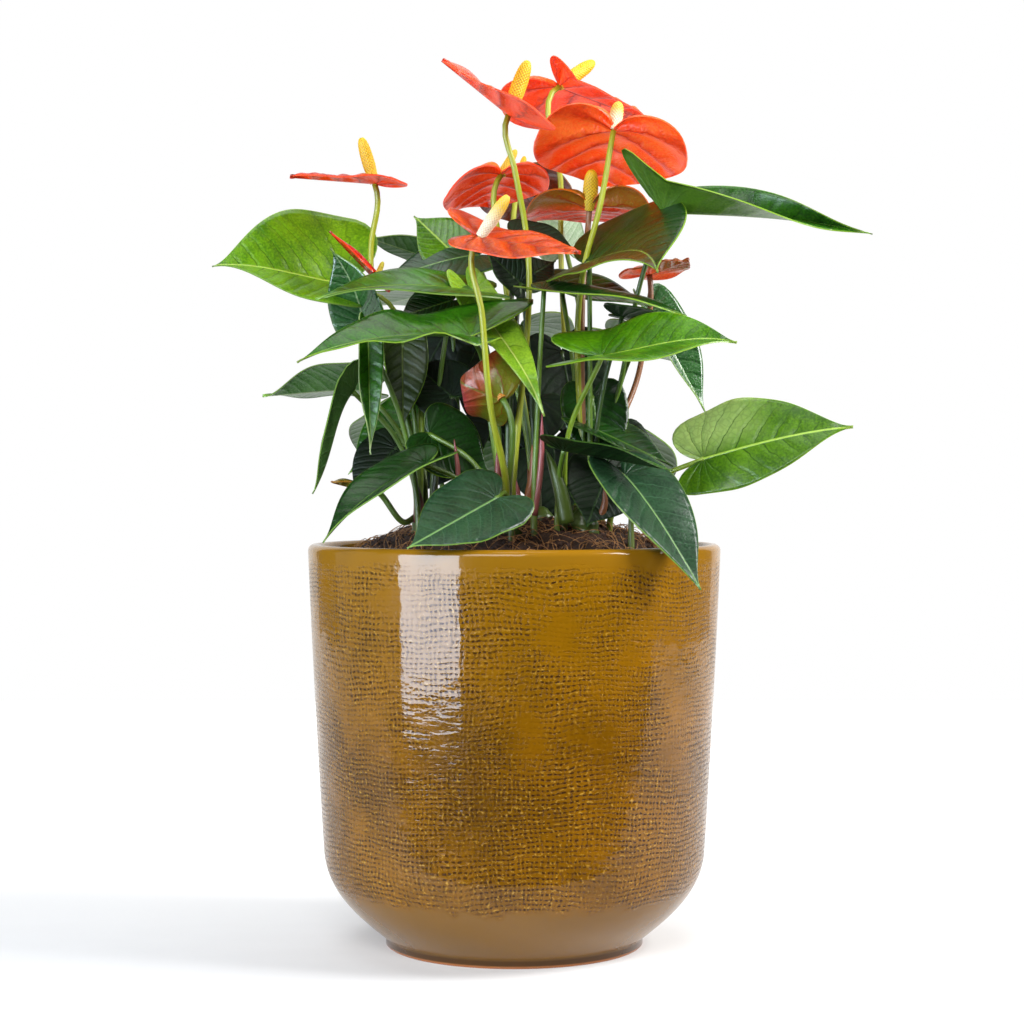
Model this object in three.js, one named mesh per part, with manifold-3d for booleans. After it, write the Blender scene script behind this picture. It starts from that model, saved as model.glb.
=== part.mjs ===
// Potted anthurium: a glazed pot with a burlap impression, heaped coir soil and six young plants
// with leaves, flower stalks, red spathes and yellow spadices.
// Millimetres, +Z up. The origin is the centre of the pot's flat underside.
// The plant is seen from the front along +Y, with +X to the right.

import * as THREE from 'three';
import { mergeVertices } from 'three/addons/utils/BufferGeometryUtils.js';
import Module from 'manifold-3d';

const wasm = await Module();
wasm.setup();

// Driving dimensions of the pot
const POT_RIM_RADIUS = 110;
const POT_HEIGHT = 214;
const POT_WALL = 7;
const POT_FLOOR = 12;
const POT_FOOT_RADIUS = 68.8;
const POT_FOOT_HEIGHT = 4.5;
const POT_SHOULDER_HEIGHT = 52;
const POT_SHOULDER_RADIUS = 101.8;
const POT_SIDES = 36;
const POT_WALL_CURVE = [106.6, 128];
const POT_CORNER_CURVE = [[84, 17], [101, 30]];
const POT_INNER_CORNER = [88, 30];
const POT_INNER_TOP = 190;

// Driving dimensions of the soil and the plants
const CLEARANCE = 0.3;
const SOIL_TOP = 226;
const SOIL_EDGE = 201;
const SOIL_LUMP = 1.4;
const SOIL_HEAP_POWER = 2.6;
const ROOT_DEPTH = 207;
const SMALLEST_DETAIL = 0.2;
const LEAF_THICKNESS = 0.8;
const LARGE_LEAF_WIDTH = 50;
const WIDE_LEAF_WIDTH = 44;
const SPATHE_THICKNESS = 1.0;
const PETIOLE_RADIUS = 1.5;
const STALK_RADIUS = 1.8;
const NECK_LENGTH = 4;
const SPADIX_BASE_RADIUS = 2.0;
const SPADIX_WIDEST = 3.6;
const FLORET_RELIEF = 1.12;
const CROWN_RADIUS = 8;
const CROWN_TOP = 234;
const CROWN_SIDES = 8;

// Where each young plant stands in the soil
const CROWNS = {
  "left": [-46, -22],
  "front": [-4, -50],
  "centre": [14, -12],
  "right": [36, -34],
  "back_left": [-26, 26],
  "back_right": [34, 28],
};

// Leaves: name, plant, base of the blade, tip, width, the way the upper side faces, and its form.
// Angles are in degrees: fold lifts each half from the midrib, cup curls the halves on from there,
// rise and droop turn the midrib's two ends, lobes lifts the rear lobes and twist turns the blade.
// bend bows the midrib sideways and wave lifts the margin, both in millimetres. heart makes the
// rear lobes longer or shorter.
// Two numbers in a list are for the left and the right half, seen from the base.
const LEAVES = [
  ["left_high", "left", [-91, -8, 352], [-157, -34, 359], [58, 86], [0, -0.75, 0.66],
    {"fold": 24, "cup": -14, "droop": 20, "lobes": [0, 15], "heart": [0.7, 1.3],
      "via": [[-54, -14, 312], [-68, -10, 343]]}],
  ["left_upright", "left", [-79, -22, 331], [-95, -37, 368], 34, [-0.5, -0.85, 0.2],
    {"fold": 24, "cup": -10, "bend": 4}],
  ["left_mid_long", "front", [-22, -38, 346], [-101, -60, 340], 46, [0, -0.45, 0.9],
    {"fold": [22, 12], "cup": -20, "rise": 12, "droop": 16, "via": [[-11, -37, 300]]}],
  ["left_low_long", "front", [-22, -72, 320], [-107, -98, 306], [30, 50], [0, -0.62, 0.8],
    {"fold": [38, 10], "cup": -22, "rise": 14, "droop": 22, "wave": 3,
      "heart": [0.7, 2.1], "lobes": [0, 26],
      "via": [[-13, -35, 282], [-17, -50, 312]]}],
  ["left_far_grey", "left", [-80, 8, 296], [-135, 4, 293], 50, [-0.1, 0.6, 0.8],
    {"fold": [4, 37], "cup": -12, "rise": 10}],
  ["left_hanging", "left", [-84, -32, 294], [-103, -58, 241], 36, [-0.94, 0, 0.33],
    {"fold": 26, "cup": -14, "rise": 12, "droop": -12, "bend": -8}],
  ["left_drop", "left", [-75, -52, 321], [-73, -66, 261], 17, [0.3, -0.9, 0.1],
    {"own": 1, "fold": 44, "cup": -10, "root": [-50, -37], "via": [[-60, -47, 285]]}],
  ["left_inner_olive", "left", [-59, -20, 321], [-58, -34, 274], 28, [0.3, -0.9, 0.2],
    {"fold": 30}],
  ["left_back_mid", "left", [-52, 10, 283], [-89, 0, 251], 40, [-0.3, -0.75, 0.5],
    {"fold": 10}],
  ["left_dark_low", "left", [-63, -10, 265], [-85, -24, 238], 34, [-0.3, -0.8, 0.5],
    {"fold": 12}],
  ["left_rim", "front", [-45, -65, 256], [-95, -91, 217], 38, [-0.35, -0.5, 0.75],
    {"own": 1, "fold": [34, 20], "cup": -20, "rise": 16, "droop": 18, "root": [-18, -48]}],
  ["front_low", "front", [-9, -86, 239], [-52, -116, 215], 46, [-0.15, -0.8, 0.6],
    {"own": 1, "fold": 10, "cup": -12, "wave": 1, "root": [-2, -68]}],
  ["inner_left_low", "front", [-44, -40, 272], [-12, -36, 250], 40, [0.2, -0.85, 0.4],
    {"fold": 8}],
  ["centre_pale", "front", [-22, -38, 344], [15, -82, 280], 24, [0.3, -0.85, 0.3],
    {"fold": 24, "cup": -10, "droop": 24, "via": [[-12, -34, 290]]}],
  ["left_teal", "centre", [-21, 2, 368], [-69, -12, 354], 40, [0, -0.55, 0.83],
    {"fold": 10, "cup": -20, "rise": 10}],
  ["back_left_glare", "back_left", [-38, 32, 367], [-81, 18, 380], 36, [0, 0.3, 0.95],
    {"fold": 8}],
  ["top_left_mid", "centre", [-30, 5, 367], [-54, 10, 390], 34, [-0.2, -0.75, 0.6],
    {"fold": 14}],
  ["right_round", "right", [39, -36, 361], [71, -90, 351], [90, 66], [-0.3, -0.75, 0.6],
    {"fold": [4, 30], "cup": -14, "droop": 12, "bend": -14, "heart": 1.3}],
  ["right_long_edge", "front", [15, -62, 344], [87, -68, 331], [28, 28], [0.1, -0.05, 1],
    {"own": 1, "fold": [30, 8], "cup": -16, "rise": 6, "droop": 10, "heart": [0.5, 1],
      "root": [10, -60], "via": [[12, -62, 290]]}],
  ["right_big", "right", [44, -78, 310], [110, -90, 316], [46, 54], [0, -0.66, 0.75],
    {"own": 1, "fold": [8, 42], "cup": -16, "rise": 4, "droop": 26, "twist": 26, "heart": 1.9,
      "lobes": [13, 0], "root": [26, -44], "via": [[27, -50, 268]]}],
  ["right_top_long", "right", [77, -40, 386], [182, -60, 373], [32, 40], [0.05, -0.1, 1],
    {"fold": [50, 64], "cup": -8, "rise": 4, "droop": 8, "twist": 100,
      "lobes": [0, 44], "heart": [0.15, 1.4],
      "via": [[56, -22, 300], [66, -32, 352]]}],
  ["right_low", "right", [98, -43, 259], [172, -62, 275], [60, 44], [-0.1, -0.85, 0.5],
    {"own": 1, "fold": 6, "cup": -16, "rise": 8, "droop": 14, "wave": 1, "root": [51, -26],
      "via": [[75, -30, 249]]}],
  ["right_back_hang", "back_right", [75, 41, 341], [105, 28, 284], 36, [0.5, -0.6, 0.5],
    {"own": 1, "fold": 30, "root": [48, 26]}],
  ["right_dark_round", "right", [41, -22, 292], [46, -36, 251], 36, [0.1, -0.9, 0.3],
    {"fold": 8}],
  ["right_dark_mid", "right", [36, -32, 277], [82, -44, 255], [44, 26], [0.15, -0.5, 0.85],
    {"fold": [10, 30], "cup": -24}],
  ["right_edge_lit", "right", [25, -66, 263], [79, -80, 253], 34, [0.1, 0.1, 1],
    {"own": 1, "fold": 24, "cup": -14, "root": [22, -50]}],
  ["front_right_rim", "right", [56, -66, 250], [92, -96, 194], 46, [0.35, -0.85, 0.3],
    {"own": 1, "fold": [8, 32], "cup": -16, "rise": 14, "droop": 6, "root": [60, -50],
      "via": [[60, -58, 240]]}],
  ["right_inner", "right", [25, 5, 353], [73, -8, 340], 40, [0.1, -0.4, 0.9],
    {"fold": 8}],
  ["right_under", "right", [56, -34, 333], [98, -44, 323], 34, [0.1, 0.2, 1],
    {"fold": 8}],
  ["back_top", "back_right", [29, 70, 379], [24, 72, 412], 34, [-0.4, 0.9, 0.2],
    {"own": 1, "fold": 20, "root": [34, 42], "via": [[40, 44, 300], [36, 54, 345]]}],
  ["centre_top_dark", "front", [0, -20, 377], [33, -34, 367], 30, [0.1, -0.6, 0.8],
    {"fold": 8}],
  ["centre_mid", "centre", [4, -20, 353], [22, 0, 365], 24, [0.1, -0.8, 0.5],
    {"fold": 8}],
  ["centre_narrow", "front", [3, -26, 351], [-16, -36, 368], 20, [-0.2, -0.8, 0.5],
    {"fold": 20}],
  ["left_inner_dark", "left", [-33, -10, 343], [-61, -22, 333], 34, [0, -0.6, 0.8],
    {"fold": 8}],
  ["centre_left_dark", "left", [-33, -20, 292], [-54, -10, 310], 36, [0, -0.9, 0.4],
    {"fold": 8}],
  ["centre_dark", "centre", [11, 0, 291], [-2, -10, 261], 40, [0, -0.95, 0.2],
    {"fold": 8}],
  ["low_right_dark", "right", [48, -36, 252], [37, -52, 224], 42, [0.2, -0.8, 0.5],
    {"fold": 8}],
  ["fill_left_high", "back_left", [-38, 33, 328], [-66, 27, 276], 44, [-0.1, -0.9, 0.3],
    {"fold": 8}],
  ["fill_left_low", "back_left", [-30, 16, 280], [-54, 8, 238], 42, [-0.1, -0.9, 0.3],
    {"fold": 8}],
  ["fill_centre", "back_left", [-12, 26, 312], [-2, 20, 256], 44, [0, -0.95, 0.3],
    {"fold": 8}],
  ["fill_right", "back_right", [26, 24, 318], [36, 16, 262], 46, [0.1, -0.9, 0.3],
    {"fold": 8}],
  ["fill_right_low", "back_right", [54, 16, 270], [68, 6, 230], 38, [0.2, -0.9, 0.3],
    {"fold": 8}],
  ["fill_low", "back_right", [21, 14, 268], [24, 8, 225], 56, [0, -0.95, 0.3],
    {"fold": 8}],
  ["back_high_left", "back_left", [-45, 50, 352], [-90, 88, 345], 56, [-0.3, 0.3, 0.9],
    {"own": 1, "fold": 10, "cup": -18, "root": [-30, 39]}],
  ["back_high_right", "back_right", [55, 64, 330], [108, 98, 312], 58, [0.3, 0.3, 0.9],
    {"own": 1, "fold": 10, "cup": -18, "root": [42, 39]}],
  ["back_centre", "back_right", [4, 70, 335], [14, 132, 318], 58, [0, 0.4, 0.9],
    {"own": 1, "fold": 12, "cup": -18, "root": [14, 48]}],
  ["back_low_left", "back_left", [-58, 58, 288], [-92, 106, 262], 54, [-0.4, 0.5, 0.7],
    {"own": 1, "fold": 10, "cup": -18, "root": [-38, 31]}],
  ["back_low_right", "back_right", [60, 62, 272], [88, 108, 240], 54, [0.4, 0.5, 0.7],
    {"own": 1, "fold": 10, "cup": -18, "root": [47, 32]}],
  ["back_low_centre", "back_left", [-2, 70, 268], [-10, 118, 236], 50, [0, 0.6, 0.7],
    {"own": 1, "fold": 10, "cup": -18, "root": [-14, 31]}],
];

// Blooms: name, plant, foot of the spadix, spathe tip, width, the way the upper side faces,
// spadix tip, the stalk's points on the way up, and the spathe's form.
const BLOOMS = [
  ["tall_left", "front", [-3, -50, 435], [-36, -86, 456], 76, [0.63, 0, 0.78],
    [7, -48, 463], [[5.5, -41, 380], [0, -48, 408]], {"fold": 6, "cup": 10, "heart": 0.6}],
  ["tall_back", "back_right", [25, 54, 467], [81, 118, 457], [80, 28], [0, 0.3, 0.95],
    [45, 72, 484], [[26, 54, 381], [26, 54, 413]],
    {"fold": [-8, -16], "cup": [-6, 20], "lobes": [15, 50], "heart": [1, 0.9]}],
  ["tall_right", "right", [52, -22, 431], [50, 48, 410], 84, [0, 0.38, 0.92],
    [55, -16, 447], [[37, -31, 362], [44, -30, 388]],
    {"fold": [-2, -8], "cup": [-12, -20], "lobes": [36, 10]}],
  ["mid_left", "centre", [-7, 0, 411], [-14, 62, 401], [66, 54], [-0.05, 0.38, 0.92],
    [1, 6, 425], [[-6, 0, 366]], {"fold": [-16, 0], "cup": -16, "lobes": [20, 6]}],
  ["mid_back", "back_left", [3, 84, 419], [18, 124, 394], 56, [0, 0.5, 0.86],
    [6, 88, 433], [[-2, 42, 345]], {"fold": 0, "cup": -16}],
  ["low_front", "front", [-17, -94, 368], [32, -112, 358], [54, 32], [0, -0.5, 0.86],
    [-3, -98, 388], [[-4, -60, 243], [-12, -80, 285], [-16, -91, 330]],
    {"fold": [-4, 6], "cup": -18, "lobes": [18, 0], "heart": [1.8, 1]}],
  ["mid_right", "right", [40, -2, 392], [43, 66, 393], 70, [0, 0.3, 0.95],
    [41, -12, 412], [[37, -16, 363]], {"fold": 0, "cup": -8, "lobes": 40}],
  ["right_brown", "right", [73, 14, 359], [93, -4, 365], 42, [0.1, -0.1, 1],
    [72, 16, 368], [[68, 8, 310]], {"fold": 6, "cup": -10, "heart": 1.5}],
  ["far_left", "left", [-74, -10, 405], [-116, -36, 405], 46, [0.03, 0.12, 1],
    [-81, -12, 429], [[-76, -8, 373]], {"fold": [0, 22], "cup": -8, "lobes": -10}],
  ["bud_left", "left", [-73, -20, 353], [-96, -34, 377], 14, [0.7, -0.1, 0.6],
    [-69, -18, 363], [[-66, -18, 320]], {"fold": 26, "cup": 0}],
  ["centre_old", "front", [-6, -65, 289], [-27, -59, 299], 56, [0.2, 0.9, 0.3],
    [-12, -60, 299], [[-3, -58, 243]],
    {"fold": 14, "cup": 56, "rise": -20, "droop": -78}],
  ["bud_low", "left", [-75, -46, 242], [-93, -62, 247], 20, [0, -0.1, 1],
    [-80, -52, 241], [[-57, -36, 226]], {"fold": 20, "cup": 10}],
];

// Half outlines of the blades as cubic curves: how far along the midrib and how far across,
// from the notch round the rear lobe to the widest place, and on to the tip.
const LEAF_OUTLINE = [
  [[0, 0], [-0.24, 0.14], [-0.36, 1.0], [0.16, 1.0]],
  [[0.16, 1.0], [0.66, 1.0], [0.8, 0.06], [1, 0]],
];
const SPATHE_OUTLINE = [
  [[0, 0], [-0.3, 0.06], [-0.42, 1.0], [0.16, 1.0]],
  [[0.16, 1.0], [0.56, 1.0], [0.8, 0.34], [1, 0]],
];

const COLOURS = {
  pot: 0x94701f,
  soil: 0x4a3226,
  leaf: 0x3f7a22,
  crown: 0x7f9a2c,
  spathe: 0xe2492c,
  oldSpathe: 0x8a5a2a,
  spadix: 0xf0c21a,
};

const vector = (point) => new THREE.Vector3(...point);
const radians = THREE.MathUtils.degToRad;

function cubic(points, t) {
  const s = 1 - t;
  const weights = [s * s * s, 3 * s * s * t, 3 * s * t * t, t * t * t];
  return [0, 1].map((k) => points.reduce((sum, p, i) => sum + weights[i] * p[k], 0));
}

// Solids and booleans

function solidFrom(geometry) {
  const bare = geometry.clone();
  bare.deleteAttribute('normal');
  bare.deleteAttribute('uv');
  const merged = mergeVertices(bare);
  return new wasm.Manifold(new wasm.Mesh({
    numProp: 3,
    vertProperties: new Float32Array(merged.attributes.position.array),
    triVerts: new Uint32Array(merged.index.array),
  }));
}

function geometryFrom(solid) {
  const mesh = solid.getMesh();
  const geometry = new THREE.BufferGeometry();
  geometry.setAttribute('position', new THREE.BufferAttribute(mesh.vertProperties, 3));
  geometry.setIndex(new THREE.BufferAttribute(mesh.triVerts, 1));
  return geometry;
}

// A round tube along a smooth curve, closed at both ends
function tube(points, radius, steps, sides = 5) {
  const curve = new THREE.CatmullRomCurve3(points.map(vector), false, 'chordal');
  const section = new THREE.Shape(
    new THREE.EllipseCurve(0, 0, radius, radius).getPoints(sides).slice(0, sides));
  return solidFrom(new THREE.ExtrudeGeometry(section, { steps, extrudePath: curve }));
}

// Where a point of the flat outline comes to lie on the bent blade
function bladeSurface(base, tip, width, face, form) {
  const start = vector(base);
  const end = vector(tip);
  const length = start.distanceTo(end);
  const along = end.clone().sub(start).normalize();
  const up = vector(face).addScaledVector(along, -vector(face).dot(along)).normalize();
  const side = along.clone().cross(up);
  const rise = radians(form.rise ?? 0);
  const droop = radians(form.droop ?? 0);
  const twist = radians(form.twist ?? 0);
  const cups = [form.cup ?? 0].flat();
  const folds = [form.fold ?? 0].flat();
  const widths = [width].flat();
  const lobeTurns = [form.lobes ?? 0].flat();
  const hearts = [form.heart ?? 1].flat();
  const bend = form.bend ?? 0;
  const knee = start.clone()
    .addScaledVector(along, length / 3 * Math.cos(rise))
    .addScaledVector(up, length / 3 * Math.sin(rise))
    .addScaledVector(side, bend);
  const elbow = end.clone()
    .addScaledVector(along, -length / 3 * Math.cos(droop))
    .addScaledVector(up, length / 3 * Math.sin(droop))
    .addScaledVector(side, bend);
  const midrib = new THREE.CubicBezierCurve3(start, knee, elbow, end);

  return (forward, across) => {
    const t = Math.max(forward, 0);
    const point = midrib.getPoint(t);
    const ahead = midrib.getTangent(t);
    const normal = up.clone().applyAxisAngle(along, twist * t);
    normal.addScaledVector(ahead, -normal.dot(ahead)).normalize();
    const sideways = ahead.clone().cross(normal);
    const ofHalf = (pair) => (across < 0 ? pair[0] : pair.at(-1));
    const fold = radians(ofHalf(folds));
    const half = ofHalf(widths) / 2;
    const lobes = radians(ofHalf(lobeTurns));
    const behind = -Math.min(forward, 0) * length * ofHalf(hearts);
    const reach = Math.abs(across);
    const curl = radians(ofHalf(cups) || 0.1);
    const out = (Math.sin(fold + curl * reach) - Math.sin(fold)) / curl;
    const lift = (Math.cos(fold) - Math.cos(fold + curl * reach)) / curl;
    const ripple = (form.wave ?? 0) * Math.sin(forward * 14 + across * 2) * reach * reach;
    return point
      .addScaledVector(ahead, -behind * Math.cos(lobes))
      .addScaledVector(sideways, Math.sign(across) * out * half)
      .addScaledVector(normal, lift * half + ripple + behind * Math.sin(lobes));
  };
}

// A thin closed blade: the two faces share one split into triangles and a narrow rim joins them
function blade(place, outline, thickness, lobeSteps, pointSteps, columns) {
  const rows = lobeSteps + pointSteps;
  const points = [];
  const known = new Map();
  const corner = (row, column, hand) => {
    const shared = row === 0 || (column === 0 && row <= lobeSteps);
    const key = shared ? 'base' : row === rows ? 'tip' : `${row} ${column * hand}`;
    if (known.has(key)) return known.get(key);
    const inLobe = row <= lobeSteps;
    const t = inLobe ? row / lobeSteps : (row - lobeSteps) / pointSteps;
    const [forward, across] = cubic(outline[inLobe ? 0 : 1], t);
    const rib = inLobe ? 0 : t;
    const share = column / columns;
    points.push(shared ? place(0, 0) : place(rib + (forward - rib) * share, across * share * hand));
    known.set(key, points.length - 1);
    return points.length - 1;
  };

  const faces = [];
  const addFace = (a, b, c, hand) => {
    if (a === b || b === c || c === a) return;
    faces.push(hand > 0 ? [a, c, b] : [a, b, c]);
  };
  for (const hand of [1, -1]) {
    for (let row = 0; row < rows; row++) {
      for (let column = 0; column < columns; column++) {
        const quad = [
          corner(row, column, hand), corner(row + 1, column, hand),
          corner(row + 1, column + 1, hand), corner(row, column + 1, hand),
        ];
        addFace(quad[0], quad[1], quad[2], hand);
        addFace(quad[0], quad[2], quad[3], hand);
      }
    }
  }
  const margin = [];
  for (let row = 0; row < rows; row++) margin.push(corner(row, columns, 1));
  for (let row = rows; row > 0; row--) margin.push(corner(row, columns, -1));

  const normals = points.map(() => new THREE.Vector3());
  for (const [a, b, c] of faces) {
    const across = points[b].clone().sub(points[a]);
    const normal = across.cross(points[c].clone().sub(points[a]));
    for (const index of [a, b, c]) normals[index].add(normal);
  }
  const positions = [];
  for (const level of [thickness / 2, -thickness / 2]) {
    points.forEach((point, i) => {
      positions.push(...point.clone().addScaledVector(normals[i].clone().normalize(), level));
    });
  }
  const below = points.length;
  const index = faces.flatMap(([a, b, c]) => [a, b, c, a + below, c + below, b + below]);
  margin.forEach((from, i) => {
    const to = margin[(i + 1) % margin.length];
    index.push(to, from, from + below, to, from + below, to + below);
  });
  const geometry = new THREE.BufferGeometry();
  geometry.setAttribute('position', new THREE.Float32BufferAttribute(positions, 3));
  geometry.setIndex(index);
  return solidFrom(geometry);
}

// Stems

function crownPoint(plant, towards, distance) {
  const [x, y] = CROWNS[plant];
  const away = new THREE.Vector2(towards[0] - x, towards[1] - y).setLength(distance);
  return [x + away.x, y + away.y];
}

// A petiole leaves the soil or its crown upright and arches out to the blade
function petiolePoints(leaf) {
  const [, plant, base, , , , form] = leaf;
  const distance = form.own ? CROWN_RADIUS + 4 : CROWN_RADIUS - 4;
  const [x, y] = form.root ?? crownPoint(plant, base, distance);
  const height = base[2] - CROWN_TOP;
  const via = form.via ?? [[
    x + (base[0] - x) * 0.38, y + (base[1] - y) * 0.38, CROWN_TOP + Math.max(height, 12) * 0.62]];
  const foot = form.own ? [x, y, ROOT_DEPTH] : [x, y, CROWN_TOP - 14];
  return [foot, [x, y, CROWN_TOP - 4], ...via, base];
}

function stalkPoints(bloom) {
  const [, plant, foot, , , , spadixTip, via] = bloom;
  const first = via[0] ?? foot;
  const [x, y] = crownPoint(plant, first, CROWN_RADIUS - 4);
  const axis = vector(spadixTip).sub(vector(foot)).normalize();
  const neck = vector(foot).addScaledVector(axis, -NECK_LENGTH);
  const end = vector(foot).addScaledVector(axis, -CLEARANCE / 2);
  return [[x, y, CROWN_TOP - 14], [x, y, CROWN_TOP - 4], ...via, neck.toArray(), end.toArray()];
}

// Pieces

function pot() {
  const lip = POT_HEIGHT - POT_WALL / 2;
  const wall = new THREE.QuadraticBezierCurve(
    new THREE.Vector2(POT_SHOULDER_RADIUS, POT_SHOULDER_HEIGHT),
    new THREE.Vector2(...POT_WALL_CURVE),
    new THREE.Vector2(POT_RIM_RADIUS, lip));
  const corner = new THREE.CubicBezierCurve(
    new THREE.Vector2(POT_FOOT_RADIUS + 0.7, POT_FOOT_HEIGHT + 0.5),
    ...POT_CORNER_CURVE.map((point) => new THREE.Vector2(...point)),
    new THREE.Vector2(POT_SHOULDER_RADIUS, POT_SHOULDER_HEIGHT));
  const rim = new THREE.EllipseCurve(
    POT_RIM_RADIUS - POT_WALL / 2, lip, POT_WALL / 2, POT_WALL / 2, 0, Math.PI);
  const profile = [
    new THREE.Vector2(0, 0),
    new THREE.Vector2(POT_FOOT_RADIUS, 0),
    new THREE.Vector2(POT_FOOT_RADIUS, POT_FOOT_HEIGHT),
    ...corner.getPoints(4),
    ...wall.getPoints(2).slice(1, -1),
    ...rim.getPoints(3),
    ...innerWall(0).reverse(),
    new THREE.Vector2(0, POT_FLOOR),
  ];
  return solidFrom(new THREE.LatheGeometry(profile, POT_SIDES));
}

// The inside of the pot from the floor up, drawn in by a gap
function innerWall(gap) {
  return [
    new THREE.Vector2(POT_FOOT_RADIUS - gap, POT_FLOOR + gap),
    new THREE.Vector2(POT_INNER_CORNER[0] - gap, POT_INNER_CORNER[1] + gap),
    new THREE.Vector2(POT_SHOULDER_RADIUS - POT_WALL - gap, POT_SHOULDER_HEIGHT + gap),
    new THREE.Vector2(POT_RIM_RADIUS - POT_WALL - 0.6 - gap, POT_INNER_TOP),
  ];
}

function soilHeight(x, y) {
  const edge = POT_RIM_RADIUS - POT_WALL - 1.5;
  const share = Math.min(Math.hypot(x, y) / edge, 1);
  const lumps = Math.sin(x * 0.21 + 1) * Math.cos(y * 0.17) + 0.6 * Math.sin(x * 0.09 - y * 0.34);
  return SOIL_TOP - (SOIL_TOP - SOIL_EDGE) * share ** SOIL_HEAP_POWER + SOIL_LUMP * lumps * (1 - share ** 6);
}

function soil(standing) {
  const wall = innerWall(CLEARANCE + 0.1);
  const edge = wall.at(-1).x - 0.5;
  const rings = 3;
  const profile = [new THREE.Vector2(0, wall[0].y), ...wall];
  for (let ring = 0; ring <= rings; ring++) {
    profile.push(new THREE.Vector2(edge * (1 - ring / rings), SOIL_EDGE));
  }
  const geometry = new THREE.LatheGeometry(profile, POT_SIDES);
  const position = geometry.attributes.position;
  for (let i = 0; i < position.count; i++) {
    if (position.getY(i) < SOIL_EDGE) continue;
    const height = soilHeight(position.getX(i), -position.getZ(i));
    position.setY(i, height);
  }
  return upright(solidFrom(geometry)).subtract(standing);
}

// A lathe turns about Y; this stands its axis up along Z
function upright(solid) {
  return solid.rotate([90, 0, 0]);
}

function crown(plant, gap) {
  const [x, y] = CROWNS[plant];
  const profile = [
    new THREE.Vector2(0, ROOT_DEPTH - gap),
    new THREE.Vector2(CROWN_RADIUS + gap, ROOT_DEPTH - gap),
    new THREE.Vector2(CROWN_RADIUS + gap, CROWN_TOP - 10),
    new THREE.Vector2(CROWN_RADIUS * 0.75 + gap, CROWN_TOP - 2),
    new THREE.Vector2(0, CROWN_TOP + gap),
  ];
  return upright(solidFrom(new THREE.LatheGeometry(profile, CROWN_SIDES))).translate([x, y, 0]);
}

// Large leaves and those that stand in the soil by themselves are modelled in more steps
function isLarge(row) {
  return widestOf(row) >= LARGE_LEAF_WIDTH || row[6].own === 1;
}

function widestOf(row) {
  return Math.max(...[row[4]].flat());
}

function petiole(row, gap) {
  const [first, ...others] = petiolePoints(row);
  const lower = [first[0], first[1], first[2] - gap];
  const large = isLarge(row);
  return tube([lower, ...others], PETIOLE_RADIUS + gap, large ? 5 : 4, large ? 5 : 4);
}

function leaf(row) {
  const [, , base, tip, width, face, form] = row;
  const surface = bladeSurface(base, tip, width, face, form);
  const pointSteps = isLarge(row) ? 4 : 3;
  const columns = isLarge(row) && widestOf(row) >= WIDE_LEAF_WIDTH ? 2 : 1;
  return blade(surface, LEAF_OUTLINE, LEAF_THICKNESS, 3, pointSteps, columns).add(petiole(row, 0));
}

function spathe(row) {
  const [, , foot, tip, width, face, spadixTip, , form] = row;
  const surface = bladeSurface(foot, tip, width, face, form);
  const axis = vector(spadixTip).sub(vector(foot)).normalize();
  const ends = [-6, 8].map((distance) => vector(foot).addScaledVector(axis, distance).toArray());
  const hole = tube(ends, SPADIX_BASE_RADIUS + 3 * CLEARANCE, 1, 8);
  return blade(surface, SPATHE_OUTLINE, SPATHE_THICKNESS, 4, 3, 2).subtract(hole);
}

function spadix(row) {
  const [, , foot, , , , spadixTip] = row;
  const from = vector(foot);
  const length = from.distanceTo(vector(spadixTip));
  const rings = 7;
  const sides = 8;
  const widest = Math.min(SPADIX_WIDEST, length * 0.13);
  const profile = [new THREE.Vector2(0, 0)];
  for (let ring = 0; ring <= rings; ring++) {
    const share = ring / rings;
    const swell = SPADIX_BASE_RADIUS + (widest - SPADIX_BASE_RADIUS) * Math.min(share * 2.5, 1);
    profile.push(new THREE.Vector2(swell * Math.sqrt(1 - (share * 0.97) ** 6), share * length * 0.97));
  }
  profile.push(new THREE.Vector2(0, length));
  const geometry = new THREE.LatheGeometry(profile, sides);
  const position = geometry.attributes.position;
  for (let i = 0; i < position.count; i++) {
    const ring = i % profile.length;
    const side = Math.floor(i / profile.length) % sides;
    const raised = (ring + side) % 2 === 0 && ring > 1 && ring < profile.length - 1;
    const scale = raised ? FLORET_RELIEF : 1;
    position.setX(i, position.getX(i) * scale);
    position.setZ(i, position.getZ(i) * scale);
  }
  const axis = vector(spadixTip).sub(from).normalize();
  const turn = new THREE.Quaternion().setFromUnitVectors(new THREE.Vector3(0, 1, 0), axis);
  const start = from.clone().addScaledVector(axis, CLEARANCE / 2);
  geometry.applyMatrix4(new THREE.Matrix4().compose(start, turn, new THREE.Vector3(1, 1, 1)));
  return solidFrom(geometry);
}

// The assembly

const group = new THREE.Group();

function addPiece(name, solid, colour, roughness) {
  const material = new THREE.MeshStandardMaterial({ color: colour, roughness, metalness: 0 });
  const mesh = new THREE.Mesh(geometryFrom(solid), material);
  mesh.name = name;
  group.add(mesh);
}

addPiece('pot', upright(pot()), COLOURS.pot, 0.15);

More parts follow.
